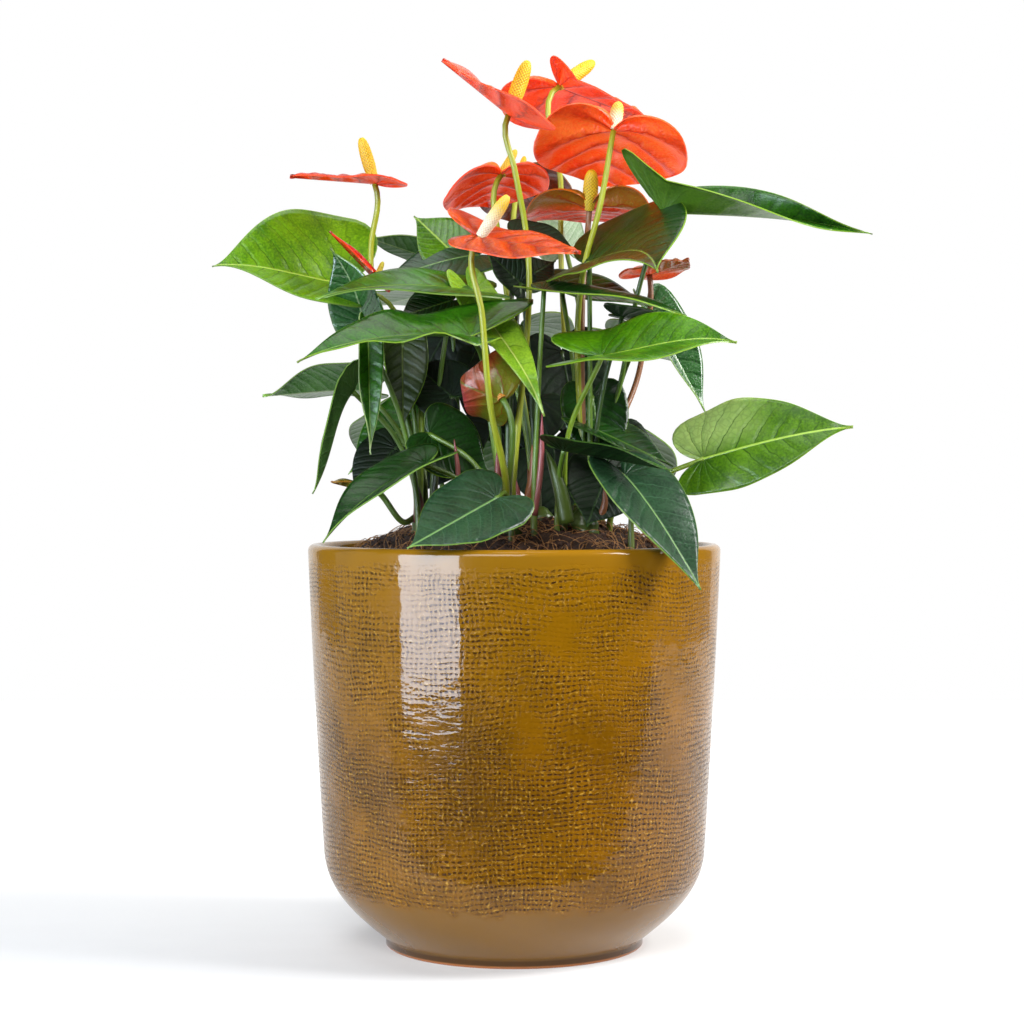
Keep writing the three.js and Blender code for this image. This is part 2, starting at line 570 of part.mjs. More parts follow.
const holes = [];
for (const plant of Object.keys(CROWNS)) {
  let body = crown(plant, 0);
  holes.push(crown(plant, CLEARANCE + 0.1));
  for (const row of LEAVES.filter((row) => row[1] === plant)) {
    if (row[6].own) {
      holes.push(petiole(row, CLEARANCE + 0.1));
      addPiece(`leaf_${row[0]}`, leaf(row), COLOURS.leaf, 0.3);
    } else {
      body = body.add(leaf(row));
    }
  }
  for (const row of BLOOMS.filter((row) => row[1] === plant)) {
    body = body.add(tube(stalkPoints(row), STALK_RADIUS, 8));
  }
  addPiece(`plant_${plant}`, body.simplify(SMALLEST_DETAIL), COLOURS.crown, 0.4);
}
addPiece('soil', soil(wasm.Manifold.union(holes)).simplify(SMALLEST_DETAIL / 4), COLOURS.soil, 0.95);
for (const row of BLOOMS) {
  addPiece(`spathe_${row[0]}`, spathe(row), COLOURS.spathe, 0.3);
  addPiece(`spadix_${row[0]}`, spadix(row), COLOURS.spadix, 0.5);
}

export default group;
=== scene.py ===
# %% [markdown]
# # A potted anthurium
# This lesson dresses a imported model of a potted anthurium: a glazed pot, its soil, and six young
# plants with leaves, flower stalks, waxy spathes and spadices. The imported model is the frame. Each
# piece below stands exactly where its plain solid stands, and only its detail is new.

# %% Load the frame
import math
import random

import bmesh
import bpy
from mathutils import Matrix, Quaternion, Vector


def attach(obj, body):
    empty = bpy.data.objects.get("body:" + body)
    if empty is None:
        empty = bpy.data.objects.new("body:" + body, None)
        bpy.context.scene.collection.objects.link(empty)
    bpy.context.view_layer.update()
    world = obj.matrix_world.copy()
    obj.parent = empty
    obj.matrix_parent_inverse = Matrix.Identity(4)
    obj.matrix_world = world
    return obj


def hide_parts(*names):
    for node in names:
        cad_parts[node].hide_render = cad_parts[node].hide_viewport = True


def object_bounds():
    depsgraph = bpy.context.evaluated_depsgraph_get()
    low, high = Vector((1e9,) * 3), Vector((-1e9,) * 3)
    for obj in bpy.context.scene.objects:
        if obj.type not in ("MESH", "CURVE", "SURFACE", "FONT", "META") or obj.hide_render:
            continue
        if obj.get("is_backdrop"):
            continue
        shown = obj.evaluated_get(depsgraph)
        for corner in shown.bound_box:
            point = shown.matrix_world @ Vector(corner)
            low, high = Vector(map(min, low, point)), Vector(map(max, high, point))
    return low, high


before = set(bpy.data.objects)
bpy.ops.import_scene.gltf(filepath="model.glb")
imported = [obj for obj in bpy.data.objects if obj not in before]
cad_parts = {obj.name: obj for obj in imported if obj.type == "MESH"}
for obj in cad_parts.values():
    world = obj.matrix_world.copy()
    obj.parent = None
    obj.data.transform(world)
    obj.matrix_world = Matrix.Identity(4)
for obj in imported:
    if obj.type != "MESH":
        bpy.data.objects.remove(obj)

cad_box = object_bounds()
MM = 0.001
print("frame loaded:", len(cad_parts), "nodes, box", [round(c, 3) for c in cad_box[1]])

# %% [markdown]
# ## Camera
# The plant was photographed from a little above the rim of the pot with a short telephoto lens.
# The lens and the height follow from the pot: its rim is seen as a thin ellipse, and its foot as a
# rounder one, and only one distance gives both.

# %% Camera
CAMERA_PLACE = (-1.2, -1224, 250.7)
CAMERA_PITCH = 0.93
CAMERA_LENS = 80.4

camera = bpy.data.objects.new("Camera", bpy.data.cameras.new("Camera"))
camera.data.lens = CAMERA_LENS
camera.data.sensor_width = 36
camera.location = Vector(CAMERA_PLACE) * MM
camera.rotation_euler = (math.radians(90 - CAMERA_PITCH), 0, 0)
bpy.context.scene.collection.objects.link(camera)
bpy.context.scene.camera = camera
print("camera", CAMERA_LENS, "mm lens,", -CAMERA_PLACE[1], "mm away")

# %% [markdown]
# ## Light and floor
# The glaze is a mirror, so it shows the whole studio. A low softbox on the left makes the bright
# bar, and a twin of it that shows only in reflections makes that bar as bright as in the photo
# without lighting the leaves more. White panels on the left and behind make the paler sides, and
# they show only in reflections too. In front the room is dark, and the white table ends just ahead
# of the pot, so its mirror image stops in a line above the foot. Softboxes above light the leaves,
# and the right-hand one throws the shadow to the left.

# %% Softboxes
WHITE = (1, 1, 1)
BAR_AIM, BAR_SIZE = (0, 0, 0.22), (0.53, 0.52)
# Name, place, aim, size, brightness of its face, colour, and whether it lights surfaces as well
# as showing in reflections. Lengths are in metres.
STUDIO = [
    ("Bar_left", (-0.62, -0.62, 0.25), BAR_AIM, BAR_SIZE, 6.6, (0.7, 0.83, 1), True),
    ("Bar_gleam", (-0.61, -0.61, 0.25), BAR_AIM, BAR_SIZE, 11.4, (0.72, 0.84, 1), False),
    ("Fill_front", (-0.35, -1.7, 1.25), (0, 0, 0.3), (1.1, 0.9), 8.5, WHITE, True),
    ("Overhead", (-0.1, 0.1, 1.35), (0, 0, 0.2), (1.0, 0.9), 2.6, WHITE, True),
    ("Key_right", (1.05, -0.25, 0.95), (0, 0, 0.2), (0.6, 0.6), 21.0, WHITE, True),
    ("Panel_left", (-1.7, 0.0, 0.5), (0, 0, 0.3), (1.5, 1.6), 0.5, WHITE, False),
    ("Panel_back", (0, 1.6, 0.7), (0, 0, 0.4), (2.9, 1.8), 1.0, WHITE, False),
]

for name, place, aim, size, radiance, colour, lights_surfaces in STUDIO:
    light = bpy.data.lights.new(name, "AREA")
    light.shape = "RECTANGLE"
    light.size, light.size_y = size
    light.energy = radiance * math.pi * size[0] * size[1]
    light.color = colour
    lamp = bpy.data.objects.new(name, light)
    lamp.location = place
    lamp.rotation_euler = (Vector(aim) - Vector(place)).to_track_quat("-Z", "Y").to_euler()
    lamp.visible_camera = False
    lamp.visible_diffuse = lights_surfaces
    bpy.context.scene.collection.objects.link(lamp)
print("softboxes:", len(STUDIO))

# %% Colours and nodes
def linear(code):
    """An sRGB hex colour as the linear values that a shader works with, and full opacity."""
    parts = [int(code[i:i + 2], 16) / 255 for i in (1, 3, 5)]
    flat = [c / 12.92 if c <= 0.04045 else ((c + 0.055) / 1.055) ** 2.4 for c in parts]
    return (*flat, 1.0)


def plug(made, links):
    """Sets a node's inputs, each to another node's result, to one socket or to a plain value."""
    for socket, value in links.items():
        if isinstance(value, bpy.types.Node):
            value = next(out for out in value.outputs if out.enabled)
        if isinstance(value, bpy.types.NodeSocket):
            made.id_data.links.new(value, made.inputs[socket])
        else:
            made.inputs[socket].default_value = value


def node(tree, kind, links=None, **settings):
    """Adds one node. Inputs go by name or by number: a Map Range goes from the range 1 to 2 to the
    range 3 to 4, and a colour Mix goes by its amount 0 from the colour 6 to the colour 7."""
    made = tree.nodes.new("ShaderNode" + kind)
    for key, value in settings.items():
        setattr(made, key, value)
    plug(made, links or {})
    return made


def new_material(name):
    """An empty material with its tree and its surface shader."""
    material = bpy.data.materials.new(name)
    material.use_nodes = True
    tree = material.node_tree
    tree.nodes.clear()
    shader = node(tree, "BsdfPrincipled")
    node(tree, "OutputMaterial", {"Surface": shader})
    return material, tree, shader


print("white is", linear("#FFFFFF")[:3])

# %% [markdown]
# ## Room and table
# Paper swept up behind an object has no visible edge. Here the table glows a little, more and more
# towards its back, so that it melts into the white room, and less in front, where the shadow
# lies. The room is white to the camera and nearly dark to everything else, so it doesn't wash
# out the reflections.

# %% Room and table
TABLE_LEFT, TABLE_RIGHT, TABLE_FRONT, TABLE_BACK = -1.3, 1.3, -0.2, 1.3
ROOM_LIGHT = 0.06

world = bpy.data.worlds.new("Studio")
bpy.context.scene.world = world
world.use_nodes = True
room = world.node_tree
room.nodes.clear()
seen = node(room, "LightPath").outputs["Is Camera Ray"]
strength = node(room, "MapRange", {"Value": seen, 3: ROOM_LIGHT, 4: 1.0})
white = node(room, "Background", {"Color": (1, 1, 1, 1), "Strength": strength})
node(room, "OutputWorld", {"Surface": white})

table_top, tree, shader = new_material("Table_white_paper")
paper = node(tree, "TexNoise", {"Scale": 60.0, "Detail": 2.0})
tint = node(tree, "MapRange", {"Value": paper, 3: 0.68, 4: 0.72})
on_table = node(tree, "TexCoord").outputs["Object"]
table_axes = node(tree, "SeparateXYZ", {0: on_table})
sweep = node(tree, "MapRange", {"Value": table_axes.outputs[1], 1: -0.15, 2: 0.9, 3: 0.12,
                                4: 0.95})
plug(shader, {"Base Color": tint, "Roughness": 0.9, "Emission Color": (1, 1, 1, 1),
              "Emission Strength": sweep})

bm = bmesh.new()
bmesh.ops.create_grid(bm, x_segments=24, y_segments=14, size=1)
for vert in bm.verts:
    vert.co.x = TABLE_LEFT + (TABLE_RIGHT - TABLE_LEFT) * (vert.co.x + 1) / 2
    vert.co.y = TABLE_FRONT + (TABLE_BACK - TABLE_FRONT) * (vert.co.y + 1) / 2
floor_mesh = bpy.data.meshes.new("Floor")
bm.to_mesh(floor_mesh)
bm.free()
floor_mesh.materials.append(table_top)
floor = bpy.data.objects.new("Floor", floor_mesh)
bpy.context.scene.collection.objects.link(floor)
floor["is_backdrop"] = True
bpy.context.scene.view_settings.view_transform = "Standard"
print("table from", TABLE_FRONT, "to", TABLE_BACK, "m")

# %% [markdown]
# ## Where everything grows
# These are the same tables that the solid model was made from, in millimetres. Each leaf has the
# base and the tip of its blade, its width, the way its upper side faces, and how it bends. Each
# bloom adds its spadix and the points that its stalk passes on the way up.

# %% Tables of crowns, leaves and blooms
CROWNS = {
  "left": [-46, -22],
  "front": [-4, -50],
  "centre": [14, -12],
  "right": [36, -34],
  "back_left": [-26, 26],
  "back_right": [34, 28],
}

# Leaves: name, plant, base of the blade, tip, width, the way the upper side faces, and its form.
# Angles are in degrees: fold lifts each half from the midrib, cup curls the halves on from there,
# rise and droop turn the midrib's two ends, lobes lifts the rear lobes and twist turns the blade.
# bend bows the midrib sideways and wave lifts the margin, both in millimetres. heart makes the
# rear lobes longer or shorter.
# Two numbers in a list are for the left and the right half, seen from the base.
LEAVES = [
  ["left_high", "left", [-91, -8, 352], [-157, -34, 359], [58, 86], [0, -0.75, 0.66],
    {"fold": 24, "cup": -14, "droop": 20, "lobes": [0, 15], "heart": [0.7, 1.3],
     "via": [[-54, -14, 312], [-68, -10, 343]]}],
  ["left_upright", "left", [-79, -22, 331], [-95, -37, 368], 34, [-0.5, -0.85, 0.2],
    {"fold": 24, "cup": -10, "bend": 4}],
  ["left_mid_long", "front", [-22, -38, 346], [-101, -60, 340], 46, [0, -0.45, 0.9],
    {"fold": [22, 12], "cup": -20, "rise": 12, "droop": 16, "via": [[-11, -37, 300]]}],
  ["left_low_long", "front", [-22, -72, 320], [-107, -98, 306], [30, 50], [0, -0.62, 0.8],
    {"fold": [38, 10], "cup": -22, "rise": 14, "droop": 22, "wave": 3, "heart": [0.7, 2.1],
     "lobes": [0, 26], "via": [[-13, -35, 282], [-17, -50, 312]]}],
  ["left_far_grey", "left", [-80, 8, 296], [-135, 4, 293], 50, [-0.1, 0.6, 0.8],
    {"fold": [4, 37], "cup": -12, "rise": 10}],
  ["left_hanging", "left", [-84, -32, 294], [-103, -58, 241], 36, [-0.94, 0, 0.33],
    {"fold": 26, "cup": -14, "rise": 12, "droop": -12, "bend": -8}],
  ["left_drop", "left", [-75, -52, 321], [-73, -66, 261], 17, [0.3, -0.9, 0.1],
    {"own": 1, "fold": 44, "cup": -10, "root": [-50, -37], "via": [[-60, -47, 285]]}],
  ["left_inner_olive", "left", [-59, -20, 321], [-58, -34, 274], 28, [0.3, -0.9, 0.2],
    {"fold": 30}],
  ["left_back_mid", "left", [-52, 10, 283], [-89, 0, 251], 40, [-0.3, -0.75, 0.5], {"fold": 10}],
  ["left_dark_low", "left", [-63, -10, 265], [-85, -24, 238], 34, [-0.3, -0.8, 0.5], {"fold": 12}],
  ["left_rim", "front", [-45, -65, 256], [-95, -91, 217], 38, [-0.35, -0.5, 0.75],
    {"own": 1, "fold": [34, 20], "cup": -20, "rise": 16, "droop": 18, "root": [-18, -48]}],
  ["front_low", "front", [-9, -86, 239], [-52, -116, 215], 46, [-0.15, -0.8, 0.6],
    {"own": 1, "fold": 10, "cup": -12, "wave": 1, "root": [-2, -68]}],
  ["inner_left_low", "front", [-44, -40, 272], [-12, -36, 250], 40, [0.2, -0.85, 0.4],
    {"fold": 8}],
  ["centre_pale", "front", [-22, -38, 344], [15, -82, 280], 24, [0.3, -0.85, 0.3],
    {"fold": 24, "cup": -10, "droop": 24, "via": [[-12, -34, 290]]}],
  ["left_teal", "centre", [-21, 2, 368], [-69, -12, 354], 40, [0, -0.55, 0.83],
    {"fold": 10, "cup": -20, "rise": 10}],
  ["back_left_glare", "back_left", [-38, 32, 367], [-81, 18, 380], 36, [0, 0.3, 0.95],
    {"fold": 8}],
  ["top_left_mid", "centre", [-30, 5, 367], [-54, 10, 390], 34, [-0.2, -0.75, 0.6], {"fold": 14}],
  ["right_round", "right", [39, -36, 361], [71, -90, 351], [90, 66], [-0.3, -0.75, 0.6],
    {"fold": [4, 30], "cup": -14, "droop": 12, "bend": -14, "heart": 1.3}],
  ["right_long_edge", "front", [15, -62, 344], [87, -68, 331], [28, 28], [0.1, -0.05, 1],
    {"own": 1, "fold": [30, 8], "cup": -16, "rise": 6, "droop": 10, "heart": [0.5, 1],
     "root": [10, -60], "via": [[12, -62, 290]]}],
  ["right_big", "right", [44, -78, 310], [110, -90, 316], [46, 54], [0, -0.66, 0.75],
    {"own": 1, "fold": [8, 42], "cup": -16, "rise": 4, "droop": 26, "twist": 26, "heart": 1.9,
     "lobes": [13, 0], "root": [26, -44], "via": [[27, -50, 268]]}],
  ["right_top_long", "right", [77, -40, 386], [182, -60, 373], [32, 40], [0.05, -0.1, 1],
    {"fold": [50, 64], "cup": -8, "rise": 4, "droop": 8, "twist": 100, "lobes": [0, 44],
     "heart": [0.15, 1.4], "via": [[56, -22, 300], [66, -32, 352]]}],
  ["right_low", "right", [98, -43, 259], [172, -62, 275], [60, 44], [-0.1, -0.85, 0.5],
    {"own": 1, "fold": 6, "cup": -16, "rise": 8, "droop": 14, "wave": 1, "root": [51, -26],
     "via": [[75, -30, 249]]}],
  ["right_back_hang", "back_right", [75, 41, 341], [105, 28, 284], 36, [0.5, -0.6, 0.5],
    {"own": 1, "fold": 30, "root": [48, 26]}],
  ["right_dark_round", "right", [41, -22, 292], [46, -36, 251], 36, [0.1, -0.9, 0.3], {"fold": 8}],
  ["right_dark_mid", "right", [36, -32, 277], [82, -44, 255], [44, 26], [0.15, -0.5, 0.85],
    {"fold": [10, 30], "cup": -24}],
  ["right_edge_lit", "right", [25, -66, 263], [79, -80, 253], 34, [0.1, 0.1, 1],
    {"own": 1, "fold": 24, "cup": -14, "root": [22, -50]}],
  ["front_right_rim", "right", [56, -66, 250], [92, -96, 194], 46, [0.35, -0.85, 0.3],
    {"own": 1, "fold": [8, 32], "cup": -16, "rise": 14, "droop": 6, "root": [60, -50],
     "via": [[60, -58, 240]]}],
  ["right_inner", "right", [25, 5, 353], [73, -8, 340], 40, [0.1, -0.4, 0.9], {"fold": 8}],
  ["right_under", "right", [56, -34, 333], [98, -44, 323], 34, [0.1, 0.2, 1], {"fold": 8}],
  ["back_top", "back_right", [29, 70, 379], [24, 72, 412], 34, [-0.4, 0.9, 0.2],
    {"own": 1, "fold": 20, "root": [34, 42], "via": [[40, 44, 300], [36, 54, 345]]}],
  ["centre_top_dark", "front", [0, -20, 377], [33, -34, 367], 30, [0.1, -0.6, 0.8], {"fold": 8}],
  ["centre_mid", "centre", [4, -20, 353], [22, 0, 365], 24, [0.1, -0.8, 0.5], {"fold": 8}],
  ["centre_narrow", "front", [3, -26, 351], [-16, -36, 368], 20, [-0.2, -0.8, 0.5], {"fold": 20}],
  ["left_inner_dark", "left", [-33, -10, 343], [-61, -22, 333], 34, [0, -0.6, 0.8], {"fold": 8}],
  ["centre_left_dark", "left", [-33, -20, 292], [-54, -10, 310], 36, [0, -0.9, 0.4], {"fold": 8}],
  ["centre_dark", "centre", [11, 0, 291], [-2, -10, 261], 40, [0, -0.95, 0.2], {"fold": 8}],
  ["low_right_dark", "right", [48, -36, 252], [37, -52, 224], 42, [0.2, -0.8, 0.5], {"fold": 8}],
  ["fill_left_high", "back_left", [-38, 33, 328], [-66, 27, 276], 44, [-0.1, -0.9, 0.3],
    {"fold": 8}],
  ["fill_left_low", "back_left", [-30, 16, 280], [-54, 8, 238], 42, [-0.1, -0.9, 0.3],
    {"fold": 8}],
  ["fill_centre", "back_left", [-12, 26, 312], [-2, 20, 256], 44, [0, -0.95, 0.3], {"fold": 8}],
  ["fill_right", "back_right", [26, 24, 318], [36, 16, 262], 46, [0.1, -0.9, 0.3], {"fold": 8}],
  ["fill_right_low", "back_right", [54, 16, 270], [68, 6, 230], 38, [0.2, -0.9, 0.3], {"fold": 8}],
  ["fill_low", "back_right", [21, 14, 268], [24, 8, 225], 56, [0, -0.95, 0.3], {"fold": 8}],
  ["back_high_left", "back_left", [-45, 50, 352], [-90, 88, 345], 56, [-0.3, 0.3, 0.9],
    {"own": 1, "fold": 10, "cup": -18, "root": [-30, 39]}],
  ["back_high_right", "back_right", [55, 64, 330], [108, 98, 312], 58, [0.3, 0.3, 0.9],
    {"own": 1, "fold": 10, "cup": -18, "root": [42, 39]}],
  ["back_centre", "back_right", [4, 70, 335], [14, 132, 318], 58, [0, 0.4, 0.9],
    {"own": 1, "fold": 12, "cup": -18, "root": [14, 48]}],
  ["back_low_left", "back_left", [-58, 58, 288], [-92, 106, 262], 54, [-0.4, 0.5, 0.7],
    {"own": 1, "fold": 10, "cup": -18, "root": [-38, 31]}],
  ["back_low_right", "back_right", [60, 62, 272], [88, 108, 240], 54, [0.4, 0.5, 0.7],
    {"own": 1, "fold": 10, "cup": -18, "root": [47, 32]}],
  ["back_low_centre", "back_left", [-2, 70, 268], [-10, 118, 236], 50, [0, 0.6, 0.7],
    {"own": 1, "fold": 10, "cup": -18, "root": [-14, 31]}],
]

# Blooms: name, plant, foot of the spadix, spathe tip, width, the way the upper side faces,
# spadix tip, the stalk's points on the way up, and the spathe's form.
BLOOMS = [
  ["tall_left", "front", [-3, -50, 435], [-36, -86, 456], 76, [0.63, 0, 0.78],
    [7, -48, 463], [[5.5, -41, 380], [0, -48, 408]], {"fold": 6, "cup": 10, "heart": 0.6}],
  ["tall_back", "back_right", [25, 54, 467], [81, 118, 457], [80, 28], [0, 0.3, 0.95],
    [45, 72, 484], [[26, 54, 381], [26, 54, 413]],
    {"fold": [-8, -16], "cup": [-6, 20], "lobes": [15, 50], "heart": [1, 0.9]}],
  ["tall_right", "right", [52, -22, 431], [50, 48, 410], 84, [0, 0.38, 0.92],
    [55, -16, 447], [[37, -31, 362], [44, -30, 388]],
    {"fold": [-2, -8], "cup": [-12, -20], "lobes": [36, 10]}],
  ["mid_left", "centre", [-7, 0, 411], [-14, 62, 401], [66, 54], [-0.05, 0.38, 0.92],
    [1, 6, 425], [[-6, 0, 366]], {"fold": [-16, 0], "cup": -16, "lobes": [20, 6]}],
  ["mid_back", "back_left", [3, 84, 419], [18, 124, 394], 56, [0, 0.5, 0.86],
    [6, 88, 433], [[-2, 42, 345]], {"fold": 0, "cup": -16}],
  ["low_front", "front", [-17, -94, 368], [32, -112, 358], [54, 32], [0, -0.5, 0.86],
    [-3, -98, 388], [[-4, -60, 243], [-12, -80, 285], [-16, -91, 330]],
    {"fold": [-4, 6], "cup": -18, "lobes": [18, 0], "heart": [1.8, 1]}],
  ["mid_right", "right", [40, -2, 392], [43, 66, 393], 70, [0, 0.3, 0.95],
    [41, -12, 412], [[37, -16, 363]], {"fold": 0, "cup": -8, "lobes": 40}],
  ["right_brown", "right", [73, 14, 359], [93, -4, 365], 42, [0.1, -0.1, 1],
    [72, 16, 368], [[68, 8, 310]], {"fold": 6, "cup": -10, "heart": 1.5}],
  ["far_left", "left", [-74, -10, 405], [-116, -36, 405], 46, [0.03, 0.12, 1],
    [-81, -12, 429], [[-76, -8, 373]], {"fold": [0, 22], "cup": -8, "lobes": -10}],
  ["bud_left", "left", [-73, -20, 353], [-96, -34, 377], 14, [0.7, -0.1, 0.6],
    [-69, -18, 363], [[-66, -18, 320]], {"fold": 26, "cup": 0}],
  ["centre_old", "front", [-6, -65, 289], [-27, -59, 299], 56, [0.2, 0.9, 0.3],
    [-12, -60, 299], [[-3, -58, 243]],
    {"fold": 14, "cup": 56, "rise": -20, "droop": -78}],
  ["bud_low", "left", [-75, -46, 242], [-93, -62, 247], 20, [0, -0.1, 1],
    [-80, -52, 241], [[-57, -36, 226]], {"fold": 20, "cup": 10}],
]

# Half outlines of the blades as cubic curves: how far along the midrib and how far across,
# from the notch round the rear lobe to the widest place, and on to the tip.
LEAF_OUTLINE = [
  [[0, 0], [-0.24, 0.14], [-0.36, 1.0], [0.16, 1.0]],
  [[0.16, 1.0], [0.66, 1.0], [0.8, 0.06], [1, 0]],
]
SPATHE_OUTLINE = [
  [[0, 0], [-0.3, 0.06], [-0.42, 1.0], [0.16, 1.0]],
  [[0.16, 1.0], [0.56, 1.0], [0.8, 0.34], [1, 0]],
]

print(len(LEAVES), "leaves and", len(BLOOMS), "blooms on", len(CROWNS), "crowns")

# %% [markdown]
# ## Shaping a blade
# A leaf and a spathe are the same kind of thing: a thin heart-shaped sheet with a midrib. The flat
# heart is two curves. Then the sheet is bent: the midrib arches, each half folds up or down from
# it, the halves curl, and the rear lobes rise or hang by themselves and may be of two lengths. A
# grid is the right start, because its middle column becomes the midrib and its rows become the
# spokes and ribs of the heart.

# %% Bending a flat outline
def cubic(points, t):
    """A point on a cubic curve through four control points."""
    s = 1 - t
    weights = (s * s * s, 3 * s * s * t, 3 * s * t * t, t * t * t)
    return [sum(w * p[k] for w, p in zip(weights, points)) for k in (0, 1)]


def pair(value, hand):
    """A value for the left or the right half of a blade."""
    values = value if isinstance(value, list) else [value]
    return values[0] if hand < 0 else values[-1]


RIPPLE_ALONG, RIPPLE_ACROSS = 14, 2


def blade_surface(base, tip, width, face, form):
    """Gives the function that lays a point of the flat blade on the bent one."""
    start, end = Vector(base) * MM, Vector(tip) * MM
    length = (end - start).length
    along = (end - start).normalized()
    up = Vector(face)
    up = (up - along * up.dot(along)).normalized()
    side = along.cross(up)
    rise = math.radians(form.get("rise", 0))
    droop = math.radians(form.get("droop", 0))
    twist = math.radians(form.get("twist", 0))
    bend = form.get("bend", 0) * MM
    wave = form.get("wave", 0) * MM
    reach = length / 3
    knee = start + along * reach * math.cos(rise) + up * reach * math.sin(rise) + side * bend
    elbow = end - along * reach * math.cos(droop) + up * reach * math.sin(droop) + side * bend

    def place(forward, across, height):
        t = max(forward, 0)
        s = 1 - t
        point = start * s**3 + knee * 3 * s * s * t + elbow * 3 * s * t * t + end * t**3
        ahead = (knee - start) * s * s + (elbow - knee) * 2 * s * t + (end - elbow) * t * t
        ahead.normalize()
        normal = Quaternion(along, twist * t) @ up
        normal = (normal - ahead * normal.dot(ahead)).normalized()
        sideways = ahead.cross(normal)
        hand = -1 if across < 0 else 1
        fold = math.radians(pair(form.get("fold", 0), hand))
        lobes = math.radians(pair(form.get("lobes", 0), hand))
        curl = math.radians(pair(form.get("cup", 0), hand) or 0.1)
        half = pair(width, hand) / 2 * MM
        behind = -min(forward, 0) * length * pair(form.get("heart", 1), hand)
        turn = fold + curl * abs(across)
        out = (math.sin(turn) - math.sin(fold)) / curl
        lift = (math.cos(fold) - math.cos(turn)) / curl
        ripple = wave * math.sin(forward * RIPPLE_ALONG + across * RIPPLE_ACROSS) * across**2
        point = point - ahead * behind * math.cos(lobes) + sideways * hand * out * half
        point = point + normal * (lift * half + ripple + behind * math.sin(lobes))
        return point + (normal * math.cos(turn) - sideways * hand * math.sin(turn)) * height

    return place, length


print("outline of a leaf:", [cubic(LEAF_OUTLINE[1], t / 4) for t in range(3)])

# %% [markdown]
# ## Veins
# Side veins leave the midrib at an angle and bend forward, and the lowest ones radiate from where
# the petiole joins. They are numbered, so that every whole number is a vein. That number goes into
# a UV map, and the material draws a crisp line at each whole number, at any distance. The left
# half's numbers are shifted, because the veins of the two halves don't meet at the midrib.

# %% Numbering the veins
SIDE_VEINS = 7.5
BASAL_ANGLE = 0.42
VEIN_LEAN, VEIN_CURVE = 0.55, 0.9
LEFT_SHIFT = 0.4


def vein_number(forward, across, half_over_length):
    """Counts up the side veins from the base to the tip, and the basal veins downwards from it."""
    out = abs(across) * half_over_length
    ahead = VEIN_LEAN * out + VEIN_CURVE * out * out
    if forward >= ahead:
        return (forward - VEIN_LEAN * out - VEIN_CURVE * out * out) * SIDE_VEINS
    return (math.atan2(out, ahead) - math.atan2(out, forward)) / BASAL_ANGLE


def smooth(low, high, value):
    """Rises softly from 0 to 1 between two values."""
    t = min(max((value - low) / (high - low), 0), 1)
    return t * t * (3 - 2 * t)


print("veins to the tip:", round(vein_number(1, 0, 0.35), 1))

# %% Making a blade from a grid
BLADE_MERGE = 0.00002
WAVES, HALF_LAG = 9, 1.3


def flat_point(outline, in_lobe, t, share):
    """A point of the flat blade, as shares of its length and of its half width."""
    forward, across = cubic(outline[0 if in_lobe else 1], t)
    rib = 0 if in_lobe else t
    return rib + (forward - rib) * abs(share), across * share


